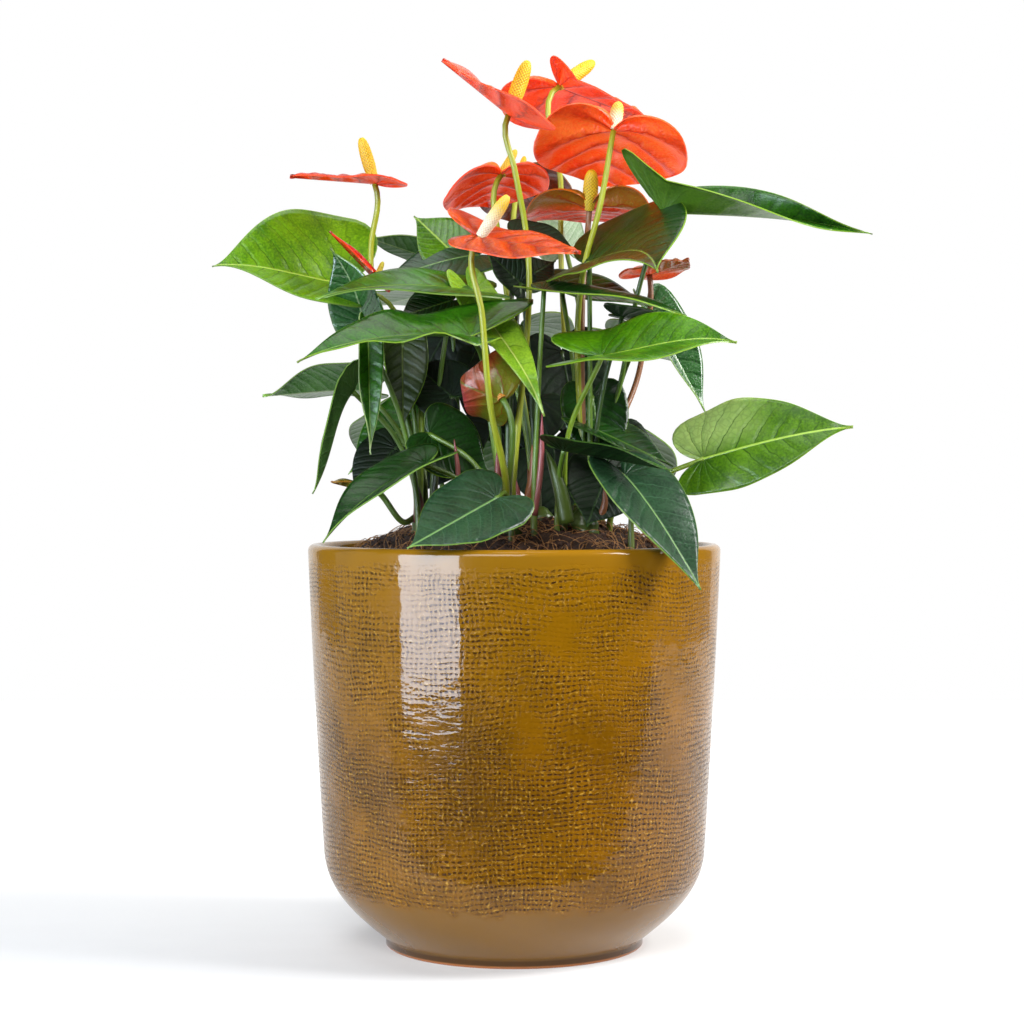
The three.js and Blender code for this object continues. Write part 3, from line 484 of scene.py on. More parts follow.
def add_blade(bm, row, outline, thickness, relief, steps, undulation, veins=SIDE_VEINS):
    """Adds a blade: upper side in material 0, underside and rim in material 1. Its thickness, the
    relief between its veins and the undulation of its margin are in mm."""
    base, tip, width, face, form = row
    place, length = blade_surface(base, tip, width, face, form)
    lobe_rows, point_rows, columns = steps
    rows = lobe_rows + point_rows
    flat_map, vein_map, place_map = [
        bm.loops.layers.uv.new(name) for name in ("Blade", "Veins", "Place")]
    sheet = bmesh.ops.create_grid(bm, x_segments=columns * 2, y_segments=rows, size=1)["verts"]
    phase = sum(base) % 6.28
    maps = {}
    for vert in sheet:
        share, row_number = vert.co.x, round((vert.co.y + 1) / 2 * rows)
        in_lobe = row_number <= lobe_rows
        t = row_number / lobe_rows if in_lobe else (row_number - lobe_rows) / point_rows
        hand = -1 if share < 0 else 1
        half = pair(width, hand) / 2 * MM
        forward, across = flat_point(outline, in_lobe, t, share)
        beside = flat_point(outline, in_lobe, max(t, 0.02), hand * max(abs(share), 0.02))
        number = vein_number(*beside, half / length) * veins / SIDE_VEINS
        # The flesh swells between the veins, but not at the midrib or the margin.
        bulge = math.sin(math.pi * (number + (LEFT_SHIFT if hand < 0 else 0))) ** 2
        bulge *= smooth(0.02, 0.3, abs(share)) * (1 - smooth(0.75, 1, abs(share)))
        wavy = math.sin(forward * WAVES + hand * HALF_LAG + phase) * undulation * share * share
        maps[vert] = (across * half / MM, forward * length / MM, number, abs(share), forward)
        vert.co = place(forward, across, (relief * bulge + wavy) * MM)
    faces = list({f for v in sheet for f in v.link_faces})
    for f in faces:
        on_left = sum(maps[v][0] for v in f.verts) < 0
        for loop in f.loops:
            side_mm, ahead_mm, number, share, forward = maps[loop.vert]
            loop[flat_map].uv = (side_mm, ahead_mm)
            loop[vein_map].uv = (number + (LEFT_SHIFT if on_left else 0), share)
            loop[place_map].uv = (forward, -share if on_left else share)
    bmesh.ops.remove_doubles(bm, verts=sheet, dist=BLADE_MERGE)
    edges = list({e for v in sheet if v.is_valid for e in v.link_edges})
    bmesh.ops.dissolve_degenerate(bm, dist=BLADE_MERGE, edges=edges)
    sheet = [v for v in sheet if v.is_valid]
    faces = list({f for v in sheet for f in v.link_faces})
    bmesh.ops.recalc_face_normals(bm, faces=faces)
    if sum(f.normal.dot(Vector(face)) * f.calc_area() for f in faces) < 0:
        bmesh.ops.reverse_faces(bm, faces=faces)
    for f in faces:
        f.smooth = True
    normals = {v: v.normal.copy() for v in sheet}
    for vert, normal in normals.items():
        vert.co += normal * thickness / 2 * MM
    bmesh.ops.extrude_face_region(bm, geom=faces, use_keep_orig=True)
    for vert, normal in normals.items():
        vert.co -= normal * thickness * MM
    bmesh.ops.reverse_faces(bm, faces=faces)
    rim = {f for v in sheet for f in v.link_faces} - set(faces)
    for f in [*faces, *rim]:
        f.material_index = 1
        f.smooth = True


print("blade functions ready, points nearer than", BLADE_MERGE / MM, "mm are merged")

# %% [markdown]
# ## Stems
# Petioles and flower stalks are round, a little thicker at the foot, and follow one smooth curve
# through a few points. An upright tube is cut into rings, and the rings are moved onto the curve.
# Its UV map goes round it once in 10 mm, so that the streaks of thin and thick stems look alike.

# %% A stem along a curve
STEPS_BETWEEN = 24
MAP_ROUND = 10


def curve_points(points, pieces):
    """Points on the smooth curve that runs through the given ones, evenly spaced along it."""
    known = [Vector(p) * MM for p in points]
    ends = [known[0] * 2 - known[1], *known, known[-1] * 2 - known[-2]]
    fine = []
    for a, b, c, d in zip(ends, ends[1:], ends[2:], ends[3:]):
        before, here, after = (b - a).length, (c - b).length, (d - c).length
        for step in range(STEPS_BETWEEN):
            t = step / STEPS_BETWEEN
            slope_b = ((b - a) / before - (c - a) / (before + here)) * here + c - b
            slope_c = c - b + ((d - c) / after - (d - b) / (here + after)) * here
            fine.append(b * (2 * t**3 - 3 * t * t + 1) + slope_b * (t**3 - 2 * t * t + t)
                        + c * (3 * t * t - 2 * t**3) + slope_c * (t**3 - t * t))
    fine.append(known[-1])
    reach = [0.0]
    for a, b in zip(fine, fine[1:]):
        reach.append(reach[-1] + (b - a).length)
    spaced, at = [], 0
    for k in range(pieces + 1):
        goal = reach[-1] * k / pieces
        while at < len(fine) - 2 and reach[at + 1] < goal:
            at += 1
        share = (goal - reach[at]) / max(reach[at + 1] - reach[at], 1e-9)
        spaced.append(fine[at].lerp(fine[at + 1], min(max(share, 0), 1)))
    return spaced, reach[-1]


def add_tube(bm, sides, rings):
    """Adds an upright closed tube of radius 1 and height 1, cut into rings."""
    bmesh.ops.create_cone(bm, cap_ends=True, segments=sides, radius1=1, radius2=1, depth=1)
    upright = [e for e in bm.edges if abs(e.verts[0].co.z - e.verts[1].co.z) > 0.5]
    bmesh.ops.subdivide_edges(bm, edges=upright, cuts=rings - 1)


def add_stem(bm, points, radius_at, material, pieces, sides=12):
    """Adds a closed round stem. radius_at gives its radius in mm from 0 at its foot to 1."""
    line, length = curve_points(points, pieces)
    tube = bmesh.new()
    flat_map = tube.loops.layers.uv.new("Blade")
    add_tube(tube, sides, pieces)
    ahead = [(line[min(k + 1, pieces)] - line[max(k - 1, 0)]).normalized()
             for k in range(pieces + 1)]
    right = [ahead[0].orthogonal().normalized()]
    for direction in ahead[1:]:
        turned = right[-1] - direction * right[-1].dot(direction)
        right.append(turned.normalized())
    place = {}
    for vert in tube.verts:
        ring = round((vert.co.z + 0.5) * pieces)
        x, y = vert.co.x, vert.co.y
        across = right[ring] * x + ahead[ring].cross(right[ring]) * y
        place[vert] = (math.atan2(y, x) / math.tau * MAP_ROUND, length * ring / pieces / MM)
        vert.co = line[ring] + across * radius_at(ring / pieces) * MM
    for f in tube.faces:
        f.material_index = material
        f.smooth = True
        for loop in f.loops:
            loop[flat_map].uv = place[loop.vert]
    held = bpy.data.meshes.new("held")
    tube.to_mesh(held)
    tube.free()
    bm.from_mesh(held)
    bpy.data.meshes.remove(held)


def finish_piece(bm, name, materials, slot, *nodes):
    """Turns a bmesh into a piece that stands for these nodes and rides with the body."""
    mesh = bpy.data.meshes.new(name)
    bm.to_mesh(mesh)
    bm.free()
    for material in materials:
        mesh.materials.append(material)
    piece = bpy.data.objects.new(name, mesh)
    bpy.context.scene.collection.objects.link(piece)
    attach(piece, "root")
    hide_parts(*nodes)
    return piece


print("a stem of", round(curve_points([(0, 0, 0), (0, 10, 50), (0, 40, 90)], 10)[1], 3), "m")

# %% [markdown]
# ## Leaf and petal materials
# A leaf is a waxy skin over soft green tissue. The wax gives a sharp, wet gloss, and the tissue
# rises in soft pads between the sunken veins, so the gloss breaks up along them. The upper side is
# deep green, with lighter veins and a thin pale margin. The underside is duller and greyer. Light
# also passes through a thin blade, most of all through a red spathe. A real ray would have to go
# through both faces, so here a little emission in the blade's own colour stands for it.

# %% A leafy material
def leafy(name, colours, gloss=0.32, coat=0.2, sunk=0.32, groove=0.0, glow=0.12, lift=0.03,
          zones=()):
    """A waxy blade in five colours: the tissue twice, side veins, midrib and margin. sunk is the
    depth of the veins in mm, groove is how much they darken, glow is the light that spreads under
    the skin and lift the light that comes through. zones are (colour, low forward, high forward,
    low side, high side), in shares of the blade."""
    colour, deep, side, rib, margin = colours.split()
    material, tree, shader = new_material(name)
    veins = node(tree, "UVMap", uv_map="Veins")
    vein_axes = node(tree, "SeparateXYZ", {0: veins})
    across = vein_axes.outputs[1]
    flat = node(tree, "UVMap", uv_map="Blade")
    flat_axes = node(tree, "SeparateXYZ", {0: flat})
    on_body = node(tree, "TexCoord").outputs["Object"]
    bent = node(tree, "TexNoise", {"Vector": flat, "Scale": 0.16})
    waver = node(tree, "MapRange", {"Value": bent, 3: -0.22, 4: 0.22})
    number = node(tree, "Math", {0: vein_axes.outputs[0], 1: waver})
    near_vein = node(tree, "Math", {0: number, 1: 0.5}, operation="PINGPONG")
    side_vein = node(tree, "MapRange", {"Value": near_vein, 1: 0.01, 2: 0.055, 3: 1.0, 4: 0.0})
    side_mm = node(tree, "Math", {0: flat_axes.outputs[0]}, operation="ABSOLUTE")
    midrib = node(tree, "MapRange", {"Value": side_mm, 1: 0.25, 2: 0.8, 3: 1.0, 4: 0.0})
    fade = node(tree, "MapRange", {"Value": across, 1: 0.3, 2: 0.95, 3: 0.9, 4: 0.25})
    faded = node(tree, "Math", {0: side_vein, 1: fade}, operation="MULTIPLY")
    patches = node(tree, "TexNoise", {"Vector": on_body, "Scale": 55.0, "Detail": 4.0,
                                      "Roughness": 0.6})
    net = node(tree, "TexVoronoi", {"Vector": flat, "Scale": 0.3}, feature="DISTANCE_TO_EDGE")
    mesh_line = node(tree, "MapRange", {"Value": net, 1: 0.0, 2: 0.16, 3: 0.22, 4: 0.0})
    cells = node(tree, "TexNoise", {"Vector": flat, "Scale": 0.8, "Detail": 3.0})
    uneven = node(tree, "Math", {0: cells, 1: 0.7, 2: patches}, operation="MULTIPLY_ADD")
    shade = node(tree, "MapRange", {"Value": uneven, 1: 0.7, 2: 1.0})
    paint = node(tree, "Mix", {0: shade, 6: linear(deep), 7: linear(colour)}, data_type="RGBA")
    pad = node(tree, "MapRange", {"Value": near_vein, 1: 0.0, 2: 0.32, 3: 0.0, 4: 1.0},
               interpolation_type="SMOOTHSTEP")
    # On spathes the veins take a darker red: partly their own, partly painted shade in the grooves.
    layers = [(node(tree, "MapRange", {"Value": pad, 3: groove, 4: 0.0}), side)]
    place = node(tree, "UVMap", uv_map="Place")
    place_axes = node(tree, "SeparateXYZ", {0: place})
    for zone, *ranges in zones:
        edge = node(tree, "MapRange", {"Value": patches, 3: -0.12, 4: 0.12})
        within = []
        for axis in (0, 1):
            ragged = node(tree, "Math", {0: place_axes.outputs[axis], 1: edge})
            low, high = ranges[axis * 2:axis * 2 + 2]
            within.append(node(tree, "MapRange", {"Value": ragged, 1: low, 2: high}))
        both = node(tree, "Math", {0: within[0], 1: within[1]}, operation="MULTIPLY")
        layers.append((both, zone))
    rim = node(tree, "MapRange", {"Value": across, 1: 0.984, 2: 0.998, 4: 0.6})
    layers += [(mesh_line, side), (faded, side), (midrib, rib), (rim, margin)]
    for amount, code in layers:
        paint = node(tree, "Mix", {0: amount, 6: paint, 7: linear(code)}, data_type="RGBA")
    rough = node(tree, "MapRange", {"Value": patches, 3: gloss - 0.06, 4: gloss + 0.1})
    height = pad
    for relief, share in ((cells, 0.45), (mesh_line, -0.35), (midrib, 0.8)):
        height = node(tree, "Math", {0: relief, 1: share, 2: height}, operation="MULTIPLY_ADD")
    bump = node(tree, "Bump", {"Height": height, "Strength": 1.0, "Distance": sunk * MM})
    plug(shader, {"Base Color": paint, "Emission Color": paint, "Emission Strength": lift,
                  "Roughness": rough, "Normal": bump, "IOR": 1.42, "Specular IOR Level": 0.35,
                  "Coat Weight": coat, "Coat Roughness": gloss * 0.5, "Subsurface Weight": glow,
                  "Subsurface Radius": linear(colour)[:3], "Subsurface Scale": 0.004})
    return material


# Each look has the two colours of its tissue, then those of its side veins, its midrib and its
# margin.
LEAF_LOOKS = {
    "light": leafy("Leaf_light_green", "#6C9E0A #427406 #305406 #A9CC50 #9CC43C", lift=0.05),
    "patched": leafy("Leaf_light_green_patched", "#56820A #345C08 #264806 #A9CC50 #9CC43C",
                     lift=0.05, zones=[("#A8C46C", 0.5, 0.12, 0.0, -0.4)]),
    "grass": leafy("Leaf_grass_green", "#528806 #306006 #224805 #9CC04C #8CB43C", lift=0.04),
    "fresh": leafy("Leaf_yellow_green", "#88B42A #66941C #547C1A #B4CC66 #AACB4C", lift=0.05),
    "mid": leafy("Leaf_mid_green", "#35700A #1C4A06 #123804 #7DA83E #86B030"),
    "dark": leafy("Leaf_dark_green", "#17420B #0D2907 #1B4410 #5E8436 #7CA42E"),
    "teal": leafy("Leaf_blue_green", "#26482A #16301C #36583C #6E9456 #86AE30",
                  gloss=0.36, coat=0.15),
    # The glare look's grey tint is a painted sheen; its coat adds real gloss as well.
    "glare": leafy("Leaf_glossy_green_with_painted_sheen", "#3A6A34 #1E4A20 #4E7A48 #86A070 #7CA03C",
                   gloss=0.2, coat=0.8, sunk=0.6),
    # The shade look is painted shade: a near-black green for the leaves deep inside the plant.
    "shade": leafy("Leaf_painted_deep_shade", "#0C2605 #051402 #081A03 #223C12 #2E4C14",
                   gloss=0.55, coat=0.0, lift=0.0),
    "olive": leafy("Leaf_inner_olive", "#34480E #22340A #3C5012 #5E7030 #6E8030",
                   gloss=0.42, coat=0.1),
    "new": leafy("Leaf_new_bronze_green", "#184008 #0E2C05 #244E0E #76923A #9CC434",
                 zones=[("#443606", 0.0, 0.5, -0.5, 0.4)]),
}
UNDER_LOOKS = {
    "grey": leafy("Leaf_underside_grey_green", "#4E7638 #38602A #66885A #8CA868 #7FA03C",
                  gloss=0.4, coat=0.1, sunk=0.25),
    "pale": leafy("Leaf_underside_pale", "#94AA88 #78926E #B4C4A6 #C0CCAA #A2BA66",
                  gloss=0.45, coat=0.1, sunk=0.25),
    "olive": leafy("Leaf_underside_olive", "#507A1C #3A6014 #5C8226 #90AA50 #8CB030",
                   gloss=0.36, coat=0.15, sunk=0.25),
    # The dark underside is painted shade, for leaves that lie in the shade inside the plant.
    "dark": leafy("Leaf_underside_painted_shade", "#16340A #0C2006 #1C3C10 #3C5824 #3C601C",
                  gloss=0.45, coat=0.05, sunk=0.25, lift=0.0),
}
SPATHE_LOOKS = {
    "coral": leafy("Spathe_coral", "#FF7630 #F8561C #B8280C #D03412 #F85624",
                   coat=0.12, sunk=1.1, groove=0.7, glow=0.5, lift=0.34),
    "red": leafy("Spathe_red_underside", "#FA521A #E43C10 #9C1A08 #B42812 #E84E2C",
                 gloss=0.42, coat=0.04, sunk=1.1, groove=0.45, glow=0.4, lift=0.32),
    "deep": leafy("Spathe_deep_red", "#D8361A #B42814 #84180C #8C200E #C84024",
                  gloss=0.28, coat=0.25, sunk=0.9, groove=0.5, glow=0.3, lift=0.1),
    "crimson": leafy("Spathe_crimson_bud", "#DE1E16 #C01812 #8E100C #9A1A10 #E8501C",
                     gloss=0.26, coat=0.5, sunk=0.5, groove=0.3, glow=0.3, lift=0.12),
    # The brown look is painted shade: a dark brown-red for a red spathe at the back in shade.
    "brown": leafy("Spathe_brown_red", "#8C3014 #66240E #4A1A08 #52200C #805A26",
                   coat=0.3, sunk=0.8, groove=0.5, glow=0.2),
    # Its olive-brown zone along one margin, from the lobes most of the way up, is painted shade.
    "olive_edge": leafy("Spathe_coral_with_olive_rim_and_painted_shade", "#F24E1C #E03C14 #B4280E #C43212 #A06A20",
                        coat=0.3, sunk=0.7, groove=0.4, glow=0.4, lift=0.2,
                        zones=[("#6E5410", 0.85, 0.6, -0.5, -0.8)]),
    "old": leafy("Spathe_olive_brown", "#A66A14 #865210 #5E3A0C #74420E #EC6C1C",
                 coat=0.3, sunk=0.8, groove=0.5, glow=0.3, lift=0.12),
    "turning": leafy("Spathe_red_with_olive_lobes", "#EA4420 #C83014 #92200C #A8260F #D86A20",
                     coat=0.15, sunk=1.0, groove=0.6, glow=0.3, lift=0.26,
                     zones=[("#8E5C14", 0.06, -0.06, -2.0, -1.9)]),
    "cup": leafy("Spathe_old_orange_brown", "#B4562A #94401E #783414 #7A6418 #B88030",
                 coat=0.4, sunk=0.4, groove=0.2, glow=0.3, lift=0.08,
                 zones=[("#A8383A", 0.35, 0.7, 0.0, 0.5), ("#6E7418", 0.42, 0.22, -2.0, -1.9)]),
    "bud": leafy("Spathe_olive_bud", "#7A7420 #5E5A16 #4A3A10 #8A5A1C #A06A24",
                 coat=0.3, sunk=0.4, groove=0.3, glow=0.2),
    "half": leafy("Spathe_coral_turning_brown", "#F45A2C #D84A24 #A43A1E #8E3A1C #8E4A24",
                  coat=0.3, sunk=0.7, groove=0.3, glow=0.3, lift=0.3,
                  zones=[("#824E20", 0.1, 0.4, -2.0, -1.9)]),
    "tipped": leafy("Spathe_coral_with_dry_tip", "#CE520A #B63E08 #902006 #D03C16 #F45824",
                    gloss=0.3, coat=0.2, sunk=1.2, groove=0.7, glow=0.4, lift=0.04,
                    zones=[("#4A2A1C", 0.93, 0.98, -2.0, -1.9)]),
}
print("leaf and spathe materials:", len(LEAF_LOOKS) + len(UNDER_LOOKS) + len(SPATHE_LOOKS))

# %% [markdown]
# ## Stem materials
# Petioles and stalks are smooth and fleshy, with fine fibres along them. They have one colour up
# to the blade and an olive or brown one near the soil. The sheaths round their feet are duller.

# %% Stems and sheaths
def stem_look(name, colour, deep, low_tint, gloss=0.35):
    """A fleshy stem with long streaks. The tint of its foot fades out 20 to 48 mm up."""
    material, tree, shader = new_material(name)
    flat = node(tree, "UVMap", uv_map="Blade")
    axes = node(tree, "SeparateXYZ", {0: flat})
    stretched = node(tree, "Mapping", {0: flat, "Scale": (3.0, 0.05, 1.0)})
    streaks = node(tree, "TexNoise", {"Vector": stretched, "Scale": 1.0, "Detail": 4.0})
    on_body = node(tree, "TexCoord").outputs["Object"]
    specks = node(tree, "TexNoise", {"Vector": on_body, "Scale": 900.0, "Detail": 2.0})
    even = node(tree, "MapRange", {"Value": streaks, 1: 0.35, 2: 0.65})
    skin = node(tree, "Mix", {0: even, 6: linear(deep), 7: linear(colour)}, data_type="RGBA")
    low = node(tree, "MapRange", {"Value": axes.outputs[1], 1: 20.0, 2: 48.0, 3: 0.8, 4: 0.0})
    tinted = node(tree, "Mix", {0: low, 6: skin, 7: linear(low_tint)}, data_type="RGBA")
    fibres = node(tree, "Math", {0: streaks, 1: specks})
    bump = node(tree, "Bump", {"Height": fibres, "Strength": 0.5, "Distance": 0.4 * MM})
    rough = node(tree, "MapRange", {"Value": specks, 3: gloss - 0.08, 4: gloss + 0.14})
    plug(shader, {"Base Color": tinted, "Normal": bump, "Roughness": rough, "Coat Weight": 0.3,
                  "Coat Roughness": 0.2})
    return material


STEM_LOOKS = {
    look: stem_look(*colours) for look, colours in {
        "lime": ("Petiole_yellow_green", "#9CB82A", "#7A9A1E", "#6A7A24"),
        "green": ("Petiole_green", "#6A8C24", "#4C6E18", "#5A6424"),
        # The dark petiole is painted shade, for the leaves that have the shade look.
        "dark": ("Petiole_painted_shade_green", "#3C5A1C", "#2A4212", "#3E3A1C"),
        "stalk": ("Stalk_yellow_green", "#B8BE2A", "#94A01E", "#7E8A24"),
        "brown": ("Stalk_brown_pink", "#A06A40", "#80502E", "#6A4A2A"),
        "crown": ("Crown_green", "#52781A", "#375612", "#4A5A1E"),
        "sheath": ("Sheath_crimson_pink", "#B8505A", "#8E3A40", "#7A4438", 0.5),
        "dry": ("Sheath_dry_orange", "#C8741E", "#96501A", "#6A3C1C", 0.6),
    }.items()}
print("stem materials:", len(STEM_LOOKS))

# %% [markdown]
# ## Spadix material
# A spadix is packed with tiny flowers in crossing spirals. Each one is a raised lozenge, and the
# gaps between them are darker. The mesh carries the lattice, and its UV map "Veins" keeps how far
# each point is raised and how far up it is, so the material only has to colour it by those two.

# %% Spadix
FLORETS_ROUND = 12


def spadix_look(name, low_colour, tip_colour, gap, change):
    """A spadix from one colour at its foot to another at its tip, with the change at a share."""
    material, tree, shader = new_material(name)
    veins = node(tree, "UVMap", uv_map="Veins")
    lattice = node(tree, "SeparateXYZ", {0: veins})
    climb = node(tree, "MapRange", {"Value": lattice.outputs[1], 1: change - 0.2, 2: change + 0.2})
    hue = node(tree, "Mix", {0: climb, 6: linear(low_colour), 7: linear(tip_colour)},
               data_type="RGBA")
    on_body = node(tree, "TexCoord").outputs["Object"]
    grain = node(tree, "TexNoise", {"Vector": on_body, "Scale": 1400.0, "Detail": 2.0})
    floret = node(tree, "MapRange", {"Value": lattice.outputs[0], 1: 0.1, 2: 0.6})
    tone = node(tree, "Mix", {0: floret, 6: linear(gap), 7: hue}, data_type="RGBA")
    bump = node(tree, "Bump", {"Height": grain, "Strength": 0.5, "Distance": 0.2 * MM})
    rough = node(tree, "MapRange", {"Value": grain, 3: 0.42, 4: 0.62})
    plug(shader, {"Base Color": tone, "Normal": bump, "Roughness": rough,
                  "Subsurface Weight": 0.15, "Subsurface Radius": (0.002, 0.0012, 0.0004)})
    return material


SPADIX_LOOKS = {
    look: spadix_look(*colours) for look, colours in {
        "yellow": ("Spadix_yellow", "#F8D630", "#F6CA12", "#A87608", 0.5),
        "white": ("Spadix_white_with_yellow_tip", "#F8F0D4", "#F6CA18", "#D2B888", 0.55),
        "green": ("Spadix_yellow_green", "#D8CC3A", "#C9BE2A", "#9A8A1E", 0.5),
        "orange": ("Spadix_orange", "#E29A2E", "#D07A1E", "#8A4E14", 0.5),
    }.items()}
print("spadix materials:", len(SPADIX_LOOKS))

# %% [markdown]
# ## Leaves
# Every leaf is one piece with its petiole, because it grew as one. The large ones get a finer
# grid. A leaf that stands by itself in the soil replaces its own solid, and the others together
# replace the plant that they belong to.

# %% Petioles and stalks of the solid model
CROWN_RADIUS, CROWN_TOP, ROOT_DEPTH = 8, 234, 207
NECK, GAP = 4, 0.3


def crown_point(plant, towards, distance):
    """A point at the foot of a stem, on the side of the crown that the stem leans to."""
    x, y = CROWNS[plant]
    away = Vector((towards[0] - x, towards[1] - y)).normalized() * distance
    return x + away.x, y + away.y


def petiole_points(row):
    """The points that a petiole passes, from the soil to the base of its blade."""
    _, plant, base, *_, form = row
    reach = CROWN_RADIUS + 4 if "own" in form else CROWN_RADIUS - 4
    x, y = form.get("root") or crown_point(plant, base, reach)
    low = CROWN_TOP + max(base[2] - CROWN_TOP, 12) * 0.62
    via = form.get("via") or [[x + (base[0] - x) * 0.38, y + (base[1] - y) * 0.38, low]]
    foot = [x, y, ROOT_DEPTH if "own" in form else CROWN_TOP - 14]
    return [foot, [x, y, CROWN_TOP - 4], *via, base]


def stalk_points(row):
    """The points that a flower stalk passes, from its crown to the foot of its spadix."""
    _, plant, foot, *_, spadix_tip, via, _ = row
    x, y = crown_point(plant, via[0], CROWN_RADIUS - 4)
    axis = (Vector(spadix_tip) - Vector(foot)).normalized()
    neck = Vector(foot) - axis * NECK
    end = Vector(foot) - axis * GAP / 2
    return [(x, y, CROWN_TOP - 14), (x, y, CROWN_TOP - 4), *via, neck, end]


print("a petiole:", [list(map(round, p)) for p in petiole_points(LEAVES[0])][:3])

# %% Looks of the leaves
# Looks of the upper side and of the underside. The leaves that aren't listed stand deep
# inside the plant, and their shade and dark looks are painted shade.
LOOK_OF_LEAF = {
    "left_high": ("light", "grey"), "left_upright": ("glare", "grey"),
    "left_mid_long": ("mid", "grey"), "left_low_long": ("mid", "olive"),
    "left_far_grey": ("mid", "grey"), "left_hanging": ("glare", "grey"),
    "left_drop": ("mid", "pale"), "left_inner_olive": ("olive", "olive"),
    "left_back_mid": ("mid", "grey"), "left_rim": ("dark", "grey"),
    "front_low": ("teal", "grey"), "inner_left_low": ("dark", "olive"),
    "centre_pale": ("fresh", "olive"), "left_teal": ("teal", "grey"),
    "back_left_glare": ("glare", "grey"), "top_left_mid": ("grass", "grey"),
    "right_round": ("new", "olive"), "right_long_edge": ("dark", "olive"),
    "right_big": ("grass", "olive"), "right_top_long": ("mid", "olive"),
    "right_low": ("patched", "olive"), "right_back_hang": ("glare", "grey"),
    "right_dark_round": ("dark", "dark"), "right_dark_mid": ("dark", "dark"),
    "right_edge_lit": ("mid", "dark"), "front_right_rim": ("teal", "grey"),
    "back_top": ("mid", "pale"), "right_inner": ("dark", "dark"),
    "left_inner_dark": ("dark", "grey"),
    "back_high_left": ("mid", "grey"), "back_high_right": ("light", "grey"),
    "back_centre": ("mid", "grey"), "back_low_left": ("dark", "grey"),
    "back_low_right": ("mid", "grey"), "back_low_centre": ("dark", "grey"),
}
STEM_OF_LOOK = {"light": "lime", "grass": "lime", "patched": "lime", "fresh": "lime",
                "shade": "dark"}
LARGE_LEAF = 48
LARGE_STEPS, SMALL_STEPS = (14, 36, 14), (10, 24, 9)
LEAF_THICKNESS, LEAF_RELIEF = 0.7, 0
PETIOLE_RADIUS, PETIOLE_TAPER, PETIOLE_RINGS = 1.9, 0.6, 28

for row in LEAVES:
    name, plant, base, tip, width, face, form = row
    upper, under = LOOK_OF_LEAF.get(name, ("shade", "dark"))
    large = pair(width, -1) + pair(width, 1) > 2 * LARGE_LEAF
    bm = bmesh.new()
    add_blade(bm, (base, tip, width, face, form), LEAF_OUTLINE, LEAF_THICKNESS, LEAF_RELIEF,
              LARGE_STEPS if large else SMALL_STEPS, 1.0 if large else 0.6)
    add_stem(bm, petiole_points(row),
             lambda t: PETIOLE_RADIUS - PETIOLE_TAPER * smooth(0, 0.6, t), 2, PETIOLE_RINGS)
    solid = "leaf_" + name if "own" in form else "plant_" + plant
    stem = STEM_OF_LOOK.get(upper, "green")
    looks = [LEAF_LOOKS[upper], UNDER_LOOKS[under], STEM_LOOKS[stem]]
    finish_piece(bm, "blade_" + name, looks, "leaf", solid)
print("leaves made:", len(LEAVES))

# %% [markdown]
# ## Spathes and stalks
# A spathe is one thick waxy leaf round the flower. Its few deep veins sink into it, and the flesh
# between them swells like quilting, which the mesh itself has to show. Thin or old spathes and
# buds swell less. The stalk is a piece of its own, because the solid model has it on the plant.

# %% Looks of the blooms
# Looks of the spathe's upper side, its underside, the spadix and the stalk.
LOOK_OF_BLOOM = {
    "tall_left": ("olive_edge", "red", "yellow", "stalk"),
    "tall_back": ("coral", "red", "yellow", "stalk"),
    "tall_right": ("coral", "coral", "white", "stalk"),
    "mid_left": ("coral", "red", "yellow", "stalk"),
    "mid_back": ("deep", "brown", "yellow", "stalk"),
    "low_front": ("tipped", "coral", "white", "stalk"),
    "mid_right": ("old", "turning", "yellow", "brown"),
    "right_brown": ("half", "half", "yellow", "brown"),
    "far_left": ("deep", "red", "yellow", "stalk"),
    "bud_left": ("crimson", "crimson", "green", "green"),
    "centre_old": ("bud", "cup", "orange", "green"),
    "bud_low": ("bud", "bud", "orange", "green"),
}
# How far the flesh swells between the veins, in millimetres.
SWELL = 2.8
LESS_SWELL = {"low_front": 1.3, "right_brown": 1.3, "tall_left": 1.3, "far_left": 1.3,
              "bud_left": 0.4, "bud_low": 0.4, "centre_old": 0}
SPATHE_STEPS, BUD_STEPS = (18, 44, 18), (8, 20, 8)
SPATHE_THICKNESS, SPATHE_VEINS = 0.9, 3.6
STALK_RADIUS, STALK_TAPER, STALK_RINGS = 1.85, 0.3, 40

for row in BLOOMS:
    name, plant, foot, tip, width, face, *_, form = row
    upper, under, _, stalk = LOOK_OF_BLOOM[name]
    bud = name.startswith("bud")
    bm = bmesh.new()
    add_blade(bm, (foot, tip, width, face, form), SPATHE_OUTLINE, SPATHE_THICKNESS,
              LESS_SWELL.get(name, SWELL), BUD_STEPS if bud else SPATHE_STEPS,
              0.3 if bud else 0.8, SPATHE_VEINS)
    looks = [SPATHE_LOOKS[upper], SPATHE_LOOKS[under]]
    finish_piece(bm, "bract_" + name, looks, "spathe", "spathe_" + name)
    bm = bmesh.new()
    add_stem(bm, stalk_points(row),
             lambda t: STALK_RADIUS - STALK_TAPER * smooth(0, 0.6, t), 0, STALK_RINGS)
    finish_piece(bm, "stalk_" + name, [STEM_LOOKS[stalk]], "leaf", "plant_" + plant)
print("spathes and stalks made:", len(BLOOMS))

# %% [markdown]
# ## Spadices
# Each one is a rounded cone with its small flowers raised in a lattice of crossing spirals. Two of
# them are stouter for their length than the others.

# %% Spadices
FLORET_PITCH = 1.8
SPIKE_SIDES, SPIKE_RINGS = 56, 84
SPADIX_BASE, SPADIX_WIDEST = 2.4, 3.9
SLIM, STOUT = 0.13, 0.2
STOUT_ONES = ("tall_right", "mid_right")
FLORET_GAP, FLORET_RISE = 0.88, 0.2

